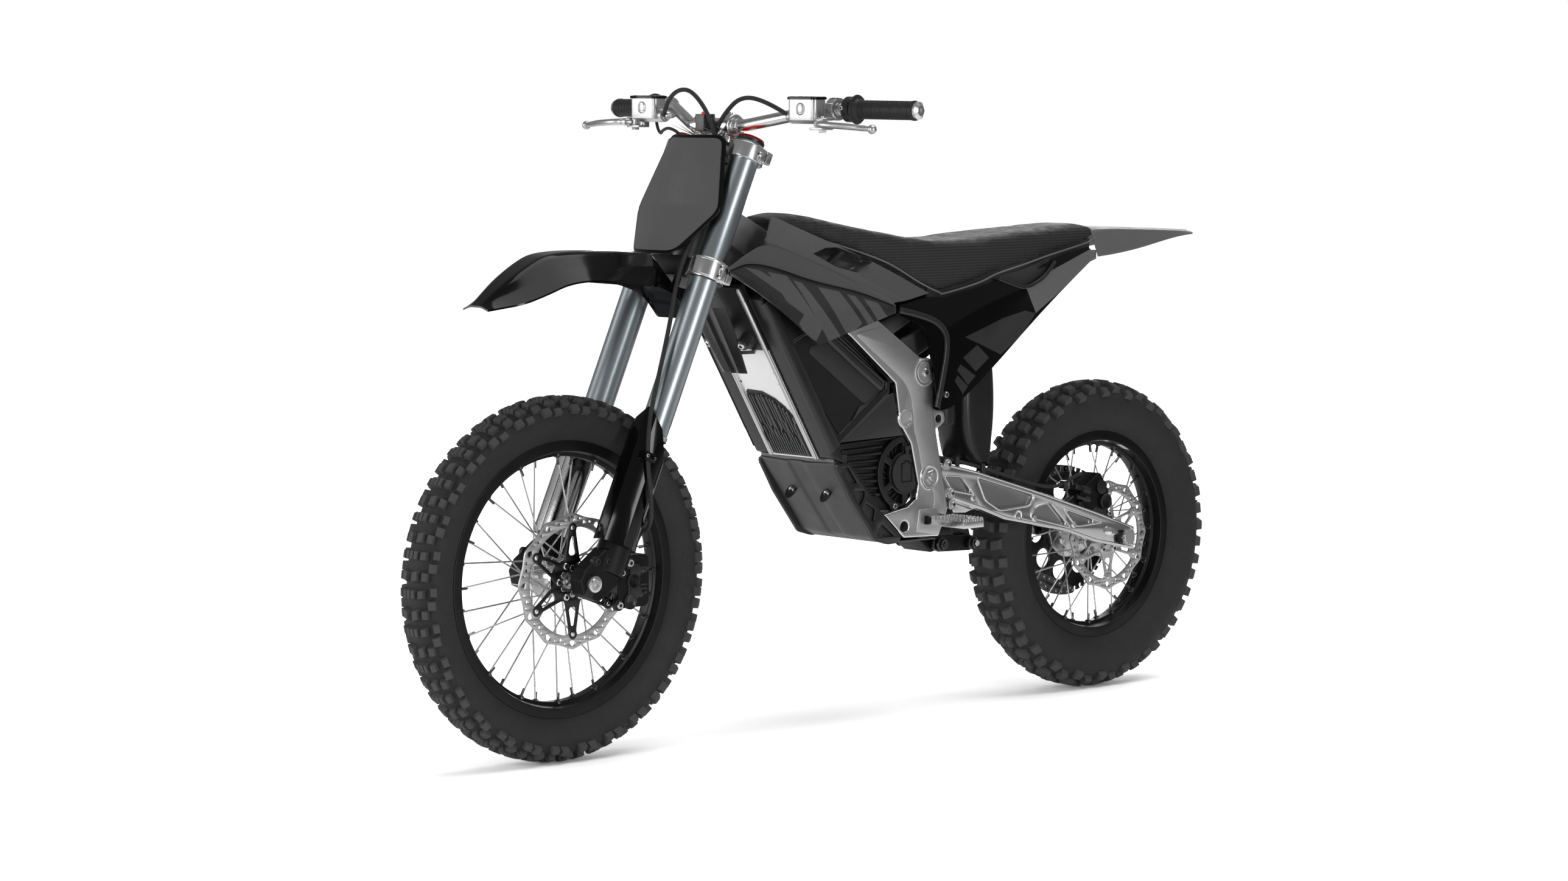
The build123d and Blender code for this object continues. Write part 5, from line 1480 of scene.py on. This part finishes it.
def shroud(mirrored):
    """The pointed lower shroud, with a dark lower half and plain slanted stripes."""
    rows = [
        [(373, 128, 851), (322, 118, 874), (266, 109, 893), (150, 114, 853), (58, 115, 816), (-46, 112, 772)],
        [(373, 130, 848), (326, 126, 856), (264, 121, 848), (170, 124, 822), (52, 120, 797), (-46, 113, 769)],
        [(371, 131, 845), (322, 131, 840), (260, 131, 818), (163, 132, 776), (58, 124, 768), (-47, 113, 766)],
        [(366, 129, 838), (312, 131, 812), (240, 132, 766), (158, 130, 708), (62, 121, 731), (-48, 112, 757)],
    ]
    seam = [(373, 848), (326, 856), (264, 848), (170, 822), (52, 797), (-46, 769)]
    low = [(366, 838), (312, 812), (240, 766), (158, 708), (62, 731), (-48, 757)]
    dark = [([a, b, (d[0], d[1] - 6), (c[0], c[1] - 6)], 1) for a, b, c, d in zip(seam, seam[1:], low, low[1:])]
    stripes = [
        [(336, 852), (300, 846), (206, 800), (222, 788)],
        [(278, 842), (232, 834), (150, 738), (166, 716), (192, 726)],
        [(218, 826), (196, 820), (96, 716), (112, 712), (132, 712)],
        [(158, 812), (104, 802), (44, 742), (70, 726), (88, 728)],
        [(84, 796), (62, 792), (8, 740), (22, 734)],
        [(40, 786), (4, 778), (-26, 750), (-10, 746), (0, 744)],
    ]
    paint = dark + [(p, 2) for p in stripes] + [([(300, 812), (240, 790), (196, 764), (214, 744)], 1)]

    def trim(bm):
        edge = curve_through([(371, 131.5, 847), (326, 128.5, 856), (264, 123.5, 848), (170, 126, 822), (52, 121, 797),
                              (-40, 114, 770)])
        strap(bm, edge, 3.2, 1.0, 3)

    sheet_piece("lower_shrouds", rows, (0, -3.5, 0), ["mid", "dark", "plate", "gloss"], f"shroud_{hand(mirrored)}",
                crease_rows=((1, 0.75),), crease_cols=((2, 0.3),), corners=((3, 3),), paint=paint, extra=trim,
                mirrored=mirrored)


def side_panel(mirrored):
    """The gloss panel under the seat, with its raised frame, recess and plain patches."""
    rows = [
        [(-60, 108, 770), (-130, 108, 783), (-183, 107, 782), (-267, 106, 796), (-330, 104, 809), (-400, 100, 812),
         (-472, 94, 842), (-588, 79, 862)],
        [(-62, 109, 763), (-130, 112, 752), (-178, 113, 735), (-262, 111, 760), (-335, 107, 775), (-410, 101, 788),
         (-486, 93, 818), (-598, 79, 857)],
        [(-64, 109, 757), (-128, 112, 739), (-174, 114, 676), (-250, 110, 700), (-332, 104, 733), (-415, 96, 768),
         (-496, 89, 806), (-603, 79, 852)],
        [(-65, 109, 753), (-127, 112, 732), (-168, 114, 620), (-244, 107, 650), (-326, 99, 690), (-410, 92, 732),
         (-498, 86, 782), (-606, 79, 848)],
        [(-66, 109, 750), (-126, 112, 728), (-158, 114, 574), (-200, 109, 574), (-310, 97, 641), (-396, 90, 702),
         (-490, 85, 768), (-608, 79, 843)],
    ]
    light = [(-392, 797), (-475, 822), (-604, 872), (-612, 842), (-500, 776), (-436, 742)]
    patches = [
        [(-226, 706), (-334, 737), (-400, 748), (-436, 742), (-396, 701), (-336, 668)],
        [(-222, 668), (-262, 690), (-300, 664), (-262, 640)],
        [(-206, 646), (-216, 656), (-262, 632), (-240, 616)],
        [(-200, 626), (-208, 636), (-240, 614), (-226, 600)],
    ]
    recess = [(-318, 812), (-398, 822), (-470, 840), (-462, 812), (-408, 795), (-384, 794)]

    def trim(bm):
        edge = curve_through([(-58, 110.5, 762), (-100, 112, 753), (-146, 114, 738), (-172, 115, 714),
                              (-174, 115.5, 680), (-166, 115, 640), (-158, 114.5, 606), (-152, 114, 580)], 6)
        strap(bm, edge, 11, 3.4, 3)
        lip = curve_through([(-318, 106.5, 812), (-352, 104.5, 802), (-384, 102.5, 794), (-412, 101.5, 796),
                             (-450, 98, 812), (-482, 94, 838)], 6)
        strap(bm, lip, 7, 2.6, 3)
        socket_bolt(bm, (-176, 112.5, 602), ALONG_Y, 6, 4, 4, 3)
        prism(bm, [(-316, 812), (-398, 824), (-474, 844), (-464, 812), (-408, 796), (-384, 794)], 82, 88, 5)

    sheet_piece("side_panels", rows, (0, -3.5, 0), ["gloss", "dark", "tail", "satin", "bolt", "matte"],
                f"side_panel_{hand(mirrored)}", crease_rows=((1, 0.3),), crease_cols=((1, 0.4), (2, 0.5)),
                paint=[(light, 2)] + [(p, 1) for p in patches], holes=[recess], extra=trim, mirrored=mirrored)


for right in (False, True):
    tank_cover(right)
    shroud(right)
    side_panel(right)


def rear_fender():
    """The pointed tail: a flat spine between two falling shoulders."""
    stations = [
        (-618, 897, 58, 893, 77, 846),
        (-660, 897, 57, 895, 75, 849),
        (-700, 896, 54, 894, 71, 853),
        (-750, 894, 50, 892, 66, 859),
        (-800, 892, 46, 890, 60, 867),
        (-860, 889, 41, 887, 51, 876),
        (-905, 887, 35, 885, 43, 880),
        (-937, 885, 28, 883, 34, 881),
    ]
    rows = []
    for x, z, shoulder_y, shoulder_z, edge_y, edge_z in stations:
        half = [(x, 0, z + 2), (x, shoulder_y * 0.55, z + 1.5), (x, shoulder_y * 0.7, z - 0.5),
                (x, shoulder_y, shoulder_z), (x, edge_y, edge_z)]
        rows.append(both_sides(half))
    sheet_piece("rear_fender", rows, (0, 0, -3.2), ["tail"], crease_cols=((1, 0.9), (2, 0.6), (6, 0.6), (7, 0.9)))


rear_fender()


def seat():
    """The saddle: foam that swells a little inside a taut ribbed cover, with piping along its lower edge."""
    narrower, voxel, pressure, stiffness, cap = 0.975, 0.0065, 4, 40, 0.004
    bm = cad_mesh("seat")
    mesh = bpy.data.meshes.new("seat_foam")
    for v in bm.verts:
        v.co.y *= narrower
    bm.to_mesh(mesh)
    bm.free()
    piece = bpy.data.objects.new("seat_cushion", mesh)
    scene.collection.objects.link(piece)
    remesh = piece.modifiers.new("remesh", "REMESH")
    remesh.mode = "VOXEL"
    remesh.voxel_size = voxel
    remesh.use_smooth_shade = True
    relax = piece.modifiers.new("relax", "SMOOTH")
    relax.factor = 0.6
    relax.iterations = 7
    foam = evaluated(piece)
    piece.modifiers.clear()
    piece.data = foam
    start = np.array([v.co for v in foam.vertices])
    cloth = piece.modifiers.new("cloth", "CLOTH")
    cloth.settings.use_pressure = True
    cloth.settings.uniform_pressure_force = pressure
    cloth.settings.effector_weights.gravity = 0
    cloth.settings.tension_stiffness = stiffness
    cloth.settings.compression_stiffness = stiffness
    cloth.settings.quality = 4
    for frame_number in range(1, 21):
        scene.frame_set(frame_number)
    swollen = evaluated(piece)
    piece.modifiers.clear()
    end = np.array([v.co for v in swollen.vertices])
    scene.frame_set(1)
    move = end - start
    size = np.linalg.norm(move, axis=1, keepdims=True)
    start = start + move * np.minimum(1, cap / np.maximum(size, 1e-9))
    bpy.data.meshes.remove(swollen)
    for v, at in zip(foam.vertices, start):
        v.co = at
    again = piece.modifiers.new("relax", "SMOOTH")
    again.factor = 0.5
    again.iterations = 3
    finer = piece.modifiers.new("finer", "SUBSURF")
    finer.levels = finer.render_levels = 1
    final = evaluated(piece)
    piece.modifiers.clear()
    piece.data = final
    final.materials.clear()
    final.materials.append(M["seat"])
    final.shade_smooth()
    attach(piece, "frame")
    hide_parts("seat")


seat()


def piping():
    """The thin grey welt between the seat and the covers."""
    route = [(204, 47, 921), (110, 77, 893), (49, 84, 877), (-44, 92, 848), (-120, 99, 810), (-170, 100, 790),
             (-183, 100, 788), (-267, 101, 804), (-323, 101, 821), (-400, 96, 836), (-472, 88, 850), (-588, 71, 869),
             (-628, 62, 880)]
    bm = bmesh.new()
    for side in SIDES:
        path = curve_through([(x, side * y, z) for x, y, z in route], 6)
        rows = []
        for i, p in enumerate(path):
            out = Vector((0, side, 0))
            up = direction(path, i).cross(out).normalized()
            rows.append([Vector(p) + (out * math.cos(t) + up * math.sin(t)) * 1.5 for t in arc(8)])
        capped(bm, rows)
    added(bm, "seat_piping", "frame", ["tail"], 40)


piping()


def seat_pan():
    """The dark tray that closes the space between the seat's lower edge and the side panels."""
    route = [(-150, 88, 800, 742), (-183, 88, 794, 738), (-267, 87, 808, 750), (-323, 86, 824, 764),
             (-400, 81, 838, 778), (-472, 74, 852, 806), (-560, 64, 868, 838), (-612, 60, 878, 850)]
    bm = bmesh.new()
    for side in SIDES:
        capped(bm, [[(x, side * y, top), (x, side * (y - 5), top), (x, side * (y - 5), low), (x, side * y, low)]
                    for x, y, top, low in route])
    added(bm, "seat_pan", "frame", ["matte"], 40)


seat_pan()


def inner_mudguard():
    """The curved flap in front of the rear wheel, which bends down to the swingarm."""
    rows = []
    for z, x_front, depth in ((752, -300, 40), (700, -294, 60), (640, -290, 74), (580, -289, 79), (540, -290, 76),
                              (500, -296, 66), (470, -306, 52), (462, -312, 46)):
        half = [(x_front, 0, z), (x_front - 1, 22, z), (x_front - 8, 38, z), (x_front - 22, 45, z),
                (x_front - depth * 0.7, 46, z), (x_front - depth, 44, z)]
        rows.append(both_sides(half))
    bm = loft(rows, level=2)
    solid_sheet(bm, list(bm.faces), (-3, 0, 0))
    guard = finished(bm, "inner_mudguard", ["satin"], 40, blended=True)
    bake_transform(guard)


inner_mudguard()


def skid_plate():
    """The bowed belly plate with its crease, recessed bolts and windowed side guards."""
    profile = [(95, 490), (80, 468), (47, 424), (4, 368), (-8, 350), (-38, 335), (-163, 334)]
    columns = [(-98, -1.5), (-94, 0.5), (-62, 2.5), (-22, 5), (-17, 2.2), (0, 2.2), (17, 2.2), (22, 5), (62, 2.5),
               (94, 0.5), (98, -1.5)]
    rows = []
    for i, (x, z) in enumerate(profile):
        a, b = Vector(profile[max(i - 1, 0)]), Vector(profile[min(i + 1, len(profile) - 1)])
        along = (b - a).normalized()
        out = Vector((-along.y, along.x))
        fade = 1.0 if i < 4 else (0.6 if i == 4 else 0.0)
        rows.append([(x + out.x * lift * fade, y, z + out.y * lift * fade) for y, lift in columns])
    bm = loft(rows, ((4, 0.6), (5, 0.6)), ((3, 0.9), (4, 0.9), (6, 0.9), (7, 0.9)), level=2)
    solid_sheet(bm, list(bm.faces), (-3.2, 0, 2.4))
    slope = Vector((62, 0, -83)).normalized()
    out = Vector((0.8, 0, -0.6)).normalized()
    for side in SIDES:
        at = Vector((60.5, side * 47, 431)) + out * 1.6
        rows = []
        for lift, size in ((1.2, 13.5), (1.6, 12.2), (-1.5, 10.5), (-1.8, 9.6)):
            reach = [(math.cos(t) * (1.35 if math.cos(t) > 0 else 1), math.sin(t)) for t in arc(28)]
            rows.append([at + out * lift + (slope * a + Vector(ALONG_Y) * b) * size for a, b in reach])
        with painted(bm, 1):
            made = grid_mesh(bm, rows, closed=True)
            bm.faces.new(made[-1])
        socket_bolt(bm, at - out * 1.4, out, 6.5, 4.5, 2, 1)
    finished(bm, "skid_plate", ["skid", "satin", "bolt"], 34)

    windows = [
        [(72, 483), (64, 482), (42, 452), (62, 453), (72, 467)],
        [(52, 438), (23, 437), (22, 427), (34, 409), (42, 420)],
        [(20, 414), (-4, 401), (1, 378), (18, 388), (26, 402)],
        [(-20, 373), (-52, 348), (-22, 350), (-10, 362)],
    ]
    outline = [(92, 489), (60, 489), (-24, 389), (-70, 346), (-62, 335), (-36, 334), (-4, 343), (58, 423), (92, 480)]
    bm = bmesh.new()
    loops = [round_outline(outline, 4, 2)] + [round_outline(w, 3.5, 3) for w in windows]
    for side in SIDES:
        flat_part(bm, loops, *sorted((side * 100.5, side * 106.5)), 1.1, 0)
        flat_part(bm, loops[:1], *sorted((side * 98, side * 101)), 0.4, 1)
    prism(bm, [(60, 474), (80, 474), (93, 490), (91, 504), (60, 504)], -97.5, 97.5)
    added(bm, "skid_side_guards", "frame", ["satin", "matte"])


skid_plate()
refined("footpeg_brackets", ["forged", "black_cast"], zone=lambda c, n: abs(c.y) > 102.2)


def footpeg(node, side):
    """The folding peg with teeth all round its rim."""
    bm = cad_mesh(node, 0.5)
    for x in (-182, -134):
        for k in range(9):
            y = side * (128 + 9 * k)
            prism(bm, [(x - 2, 375), (x + 2, 375), (x + 1.4, 382.5), (x - 1.4, 382.5)], y - 2.2, y + 2.2)
    finished(bm, node, ["silver"], 32)


footpeg("footpeg_left", 1)
footpeg("footpeg_right", -1)


ARM_LEAN = math.tan(math.radians(1.7))


def arm_at(x, z, lift=0.0, side=1):
    """A point on the outer face of a swingarm leg, which leans out towards the rear."""
    return (x, side * (82.05 + (PIVOT[0] - x) * ARM_LEAN + lift), z)


def swingarm():
    """The arms with rolled rims, smooth pockets, ring nuts and axle adjusters."""
    def pocket(c, normal):
        return abs(normal.y) > 0.9 and -10.5 < abs(c.y) - arm_at(c.x, c.z)[1] < -7.5

    bm = cad_mesh("swingarm", 2.2, 3, pocket)
    rims = [
        [(-200, 449), (-246, 444), (-280, 407), (-222, 419)],
        [(-285, 441), (-438, 397), (-425, 377), (-345, 373), (-307, 395)],
        [(-479, 381), (-439, 375), (-423, 355), (-534, 327)],
        [(-511, 367), (-620, 332), (-547, 329)],
    ]
    edge = [(-176, 470), (-212, 466.5), (-283, 449.5), (-441, 402.5), (-604, 350.5), (-704, 314.5), (-704, 278),
            (-599, 300.5), (-520, 326.5), (-419, 347.5), (-360, 359.5), (-302, 381), (-222, 406.5), (-178, 424)]
    for side in SIDES:
        for rim in rims:
            outline = round_outline(rim, 9, 4)
            strap(bm, [arm_at(x, z, -0.6, side) for x, z in outline], 3.6, 2.0, 0, DOME, side, closed=True)
        outline = round_outline(edge, 12, 4)
        strap(bm, [arm_at(x, z, -0.4, side) for x, z in outline], 4.2, 2.2, 0, DOME, side, closed=True)
        out = (0, side, 0)
        x, y, z = arm_at(-393, 361, 0, side)
        turned(bm, (x, y - side * 2, z), out, [(0, 10), (3, 10), (3.8, 9), (3.8, 6.4), (-1, 5.6)], 32, 0)
        x, y, z = arm_at(-624, 316, -3, side)
        heading = Vector((-1, side * ARM_LEAN, -0.24)).normalized()
        turned(bm, (x, y, z), heading, [(0, 6), (3, 9.5), (15, 9.5), (17, 8)], 28, 0)
        turned(bm, Vector((x, y, z)) + heading * 18, heading, [(0, 8.6), (7, 8.6), (7.6, 7.6)], 6, 2)
        turned(bm, Vector((x, y, z)) + heading * 25, heading, [(0, 4.6), (14, 4.6)], 16, 2)
        for px, pz in ((-436, 352), (-276, 402), (-541, 333)):
            x, y, z = arm_at(px, pz, 0, side)
            turned(bm, (x, y - side * 3, z), out, [(0, 6), (4, 6), (5.4, 4.2)], 20, 0)
    finished(bm, "swingarm", ["machined", "pocket", "bolt"], 32)

    bm = bmesh.new()
    for x, y, z in ((-240, 74, 475), (-306, 76.5, 458), (-532, 74.5, 411)):
        box_piece(bm, (x - 6, y - 8, z - 9), (x + 6, y + 7, z + 6), 0, 1.4)
        box_piece(bm, (x - 4.5, y + 3, z - 14), (x + 4.5, y + 7.5, z - 6), 0, 0.6)
    added(bm, "brake_line_clips", "swingarm", ["satin"])


swingarm()


def rear_axle():
    """The axle, its dark end blocks and eight-sided heads."""
    bm = cad_mesh("rear_axle", 0.9, zone=lambda c, n: 72.9 < abs(c.y) < 106.2)
    for side in SIDES:
        turned(bm, (REAR[0], side * 105, REAR[1]), (0, side, 0), [(0, 15.4), (8.2, 15.4), (9.4, 14)], 8, 1,
               math.radians(22.5))
    finished(bm, "rear_axle", ["steel", "black_cast"])


rear_axle()


def rear_caliper():
    """The single-piston caliper on its bracket: round cover, guide pins and bolts."""
    bm = cad_mesh("rear_caliper", 1.4, 3, angle=30)
    turned(bm, (-649, 70, 369), ALONG_Y, [(0, 15.5), (7, 15.5), (8.4, 14), (8.4, 12.4), (7.6, 12)], 40, 1)
    for a, b, r in (((-600, 76, 392), (-560, 76, 404), 7.5), ((-606, 70, 374), (-572, 70, 384), 6.5),
                    ((-650, 66, 398), (-628, 66, 412), 6)):
        way = Vector(b) - Vector(a)
        turned(bm, a, way, [(0, r - 1), (1, r), (way.length * 0.45, r), (way.length * 0.5, r - 2),
                            (way.length - 1, r - 2), (way.length, r - 3)], 24, 1)
    for x, z in ((-664, 344), (-628, 400)):
        socket_bolt(bm, (x, 69, z), ALONG_Y, 5.4, 4, 2, 3)
    finished(bm, "rear_caliper", ["black_cast", "satin", "bolt", "matte"], 32)


rear_caliper()


def chain():
    """Roller chain: inner and outer links round both sprockets."""
    pitch, drive_teeth, wheel_teeth, plate_end = 15.875, 12, 48, 6
    small, large = (pitch / (2 * math.sin(math.pi / teeth)) for teeth in (drive_teeth, wheel_teeth))
    front, rear = Vector((-72, 456)), Vector(REAR)
    apart = rear - front
    heading = math.atan2(apart.y, apart.x)
    lean = math.asin((large - small) / apart.length)
    up, low = heading - math.pi / 2 - lean, heading + math.pi / 2 + lean

    def on(centre, radius, angle):
        return centre + Vector((math.cos(angle), math.sin(angle))) * radius

    line = [on(front, small, up)]
    turn = (low - up) % (2 * math.pi)
    turn = 2 * math.pi - turn if turn < math.pi else turn
    line += [on(rear, large, up - turn * k / 160) for k in range(161)]
    line += [on(front, small, low - (2 * math.pi - turn) * k / 40) for k in range(41)]
    lengths = [0.0]
    for a, b in zip(line, line[1:]):
        lengths.append(lengths[-1] + (b - a).length)
    count = 2 * round(lengths[-1] / pitch / 2)

    def spot(distance):
        distance %= lengths[-1]
        k = min(max(i for i, length in enumerate(lengths) if length <= distance), len(line) - 2)
        t = (distance - lengths[k]) / max(lengths[k + 1] - lengths[k], 1e-9)
        return line[k].lerp(line[k + 1], t)

    pins = [spot(lengths[-1] * k / count) for k in range(count)]
    bm = bmesh.new()
    for k in range(count):
        a, b = pins[k], pins[(k + 1) % count]
        way = (b - a).normalized()
        side = Vector((-way.y, way.x))
        outline = []
        for centre, sign in ((a, -1), (b, 1)):
            for j in range(7):
                t = math.pi * (j / 6 - 0.5)
                outline.append(centre + (way * math.cos(t) + side * math.sin(t)) * sign * plate_end)
        inner_link = 0 if k % 2 else 1
        for y in (-66.4 + inner_link, -56.8 - inner_link):
            prism(bm, outline, y, y + 1.2, 0)
        turned(bm, (a.x, -65.5, a.y), ALONG_Y, [(0, 5), (9, 5)], 10, 1)
        turned(bm, (a.x, -67.4, a.y), ALONG_Y, [(0, 2), (12.8, 2)], 8, 1)
    piece = finished(bm, "chain", ["black_alloy", "steel"], name="chain_links", blended=True)
    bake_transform(piece)


chain()


def linkage():
    """Rocker and link arms with rounded edges and silver nuts on their bolts."""
    bm = cad_mesh("link_arms", 1.6, 3)
    for x, z in ((-225, 316), (-306, 313)):
        for side in SIDES:
            for y, steps, profile in ((55, 32, [(0, 13), (3, 13), (3.8, 12)]), (58, 6, [(0, 10), (6, 10), (7, 8.8)]),
                                      (64, 20, [(0, 5.6), (4, 5.6), (5, 4.6)])):
                turned(bm, (x, side * y, z), (0, side, 0), profile, steps, 1)
    finished(bm, "link_arms", ["black_alloy", "bolt"], 32)
    refined("rocker", ["black_alloy"], 1.4)


linkage()


def shock():
    """Damper body with its reservoir, and the spring between the two seats."""
    finished(cad_mesh("shock_body", 1.6, 3), "shock_body", ["satin"], 32)
    finish_in_place("shock_shaft", "steel")

    top, foot = Vector((SHOCK_TOP[0], 0, SHOCK_TOP[1])), Vector((-232, 0, 395))
    down = (foot - top).normalized()
    side = Vector(ALONG_Y)
    ahead = side.cross(down)
    rows = []
    steps, coils, coil_r, wire_r, begin, length = 300, 6.6, 30, 4.9, 43, 176
    for k in range(steps + 1):
        t = k / steps
        angle = 2 * math.pi * coils * t
        spoke = ahead * math.cos(angle) + side * math.sin(angle)
        centre = top + down * (begin + length * t) + spoke * coil_r
        rows.append([centre + (spoke * math.cos(a) + down * math.sin(a)) * wire_r for a in arc(12)])
    bm = bmesh.new()
    capped(bm, rows)
    spring = finished(bm, "shock_spring", ["black_alloy"], 40, name="shock_spring_coils", blended=True)
    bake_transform(spring)


shock()


# ---------------------------------------------------------------- stage and light
def stage():
    """A plain pale floor and soft studio light."""
    mesh = bpy.data.meshes.new("floor")
    mesh.from_pydata([(-60, -60, 0), (60, -60, 0), (60, 60, 0), (-60, 60, 0)], [], [(0, 1, 2, 3)])
    floor = bpy.data.objects.new("floor", mesh)
    scene.collection.objects.link(floor)
    paint = bpy.data.materials.new("pale_floor")
    paint.use_nodes = True
    tree = paint.node_tree
    for node in list(tree.nodes):
        if node.type == "BSDF_PRINCIPLED":
            tree.nodes.remove(node)
    pale, seen, mixed, place, reach, near = (tree.nodes.new("ShaderNode" + kind) for kind in (
        "BsdfDiffuse", "LightPath", "MapRange", "TexCoord", "VectorMath", "MapRange"))
    reach.operation = "LENGTH"
    tree.links.new(place.outputs["Object"], reach.inputs[0])
    for name, value in (("From Min", 1.6), ("From Max", 4.0), ("To Min", 1.1), ("To Max", 0.12)):
        near.inputs[name].default_value = value
    tree.links.new(reach.outputs["Value"], near.inputs["Value"])
    tree.links.new(near.outputs[0], mixed.inputs["To Min"])
    mixed.inputs["To Max"].default_value = 1.9
    tree.links.new(seen.outputs["Is Camera Ray"], mixed.inputs["Value"])
    tree.links.new(mixed.outputs[0], pale.inputs["Color"])
    tree.links.new(pale.outputs[0], tree.nodes["Material Output"].inputs["Surface"])
    mesh.materials.append(paint)

    world = bpy.data.worlds.new("studio")
    world.use_nodes = True
    tree = world.node_tree
    background = tree.nodes["Background"]
    background.inputs["Color"].default_value = (1, 1, 1, 1)
    seen = tree.nodes.new("ShaderNodeLightPath")
    strength = tree.nodes.new("ShaderNodeMapRange")
    strength.inputs["To Min"].default_value = 0.22
    strength.inputs["To Max"].default_value = 1.0
    tree.links.new(seen.outputs["Is Camera Ray"], strength.inputs["Value"])
    tree.links.new(strength.outputs[0], background.inputs["Strength"])
    scene.world = world

    sun = bpy.data.lights.new("soft_sky", "SUN")
    sun.energy = 1.25
    sun.angle = math.radians(50)
    lamp = bpy.data.objects.new("soft_sky", sun)
    scene.collection.objects.link(lamp)
    lamp.rotation_euler = Vector((0.25, -0.1, -1)).to_track_quat("-Z", "Y").to_euler()

    for name, at, towards, size, power in (
            ("side_box", (0.6, 5.6, 1.5), (0, 0, 0.6), (0.8, 3.0), 80),
            ("front_box", (5.6, 0.6, 1.5), (0.3, 0, 0.6), (0.8, 3.0), 80),
            ("low_box", (3.4, 4.6, 0.3), (0, 0, 0.6), (1.6, 0.5), 12),
            ("back_box", (-3.6, -2.6, 2.4), (0, 0, 0.7), (1.6, 1.6), 22),
            ("fill_box", (3.9, -3.4, 1.3), (0.2, 0, 0.6), (2.0, 2.4), 60),
            ("rim_box", (-4.6, -4.2, 0.9), (0, 0, 0.6), (2.6, 1.7), 70)):
        light = bpy.data.lights.new(name, "AREA")
        light.shape = "RECTANGLE"
        light.size, light.size_y = size
        light.energy = power
        box = bpy.data.objects.new(name, light)
        scene.collection.objects.link(box)
        box.location = at
        box.rotation_euler = (Vector(towards) - Vector(at)).to_track_quat("-Z", "Y").to_euler()
        box.visible_camera = False


stage()
scene.view_settings.view_transform = "Standard"
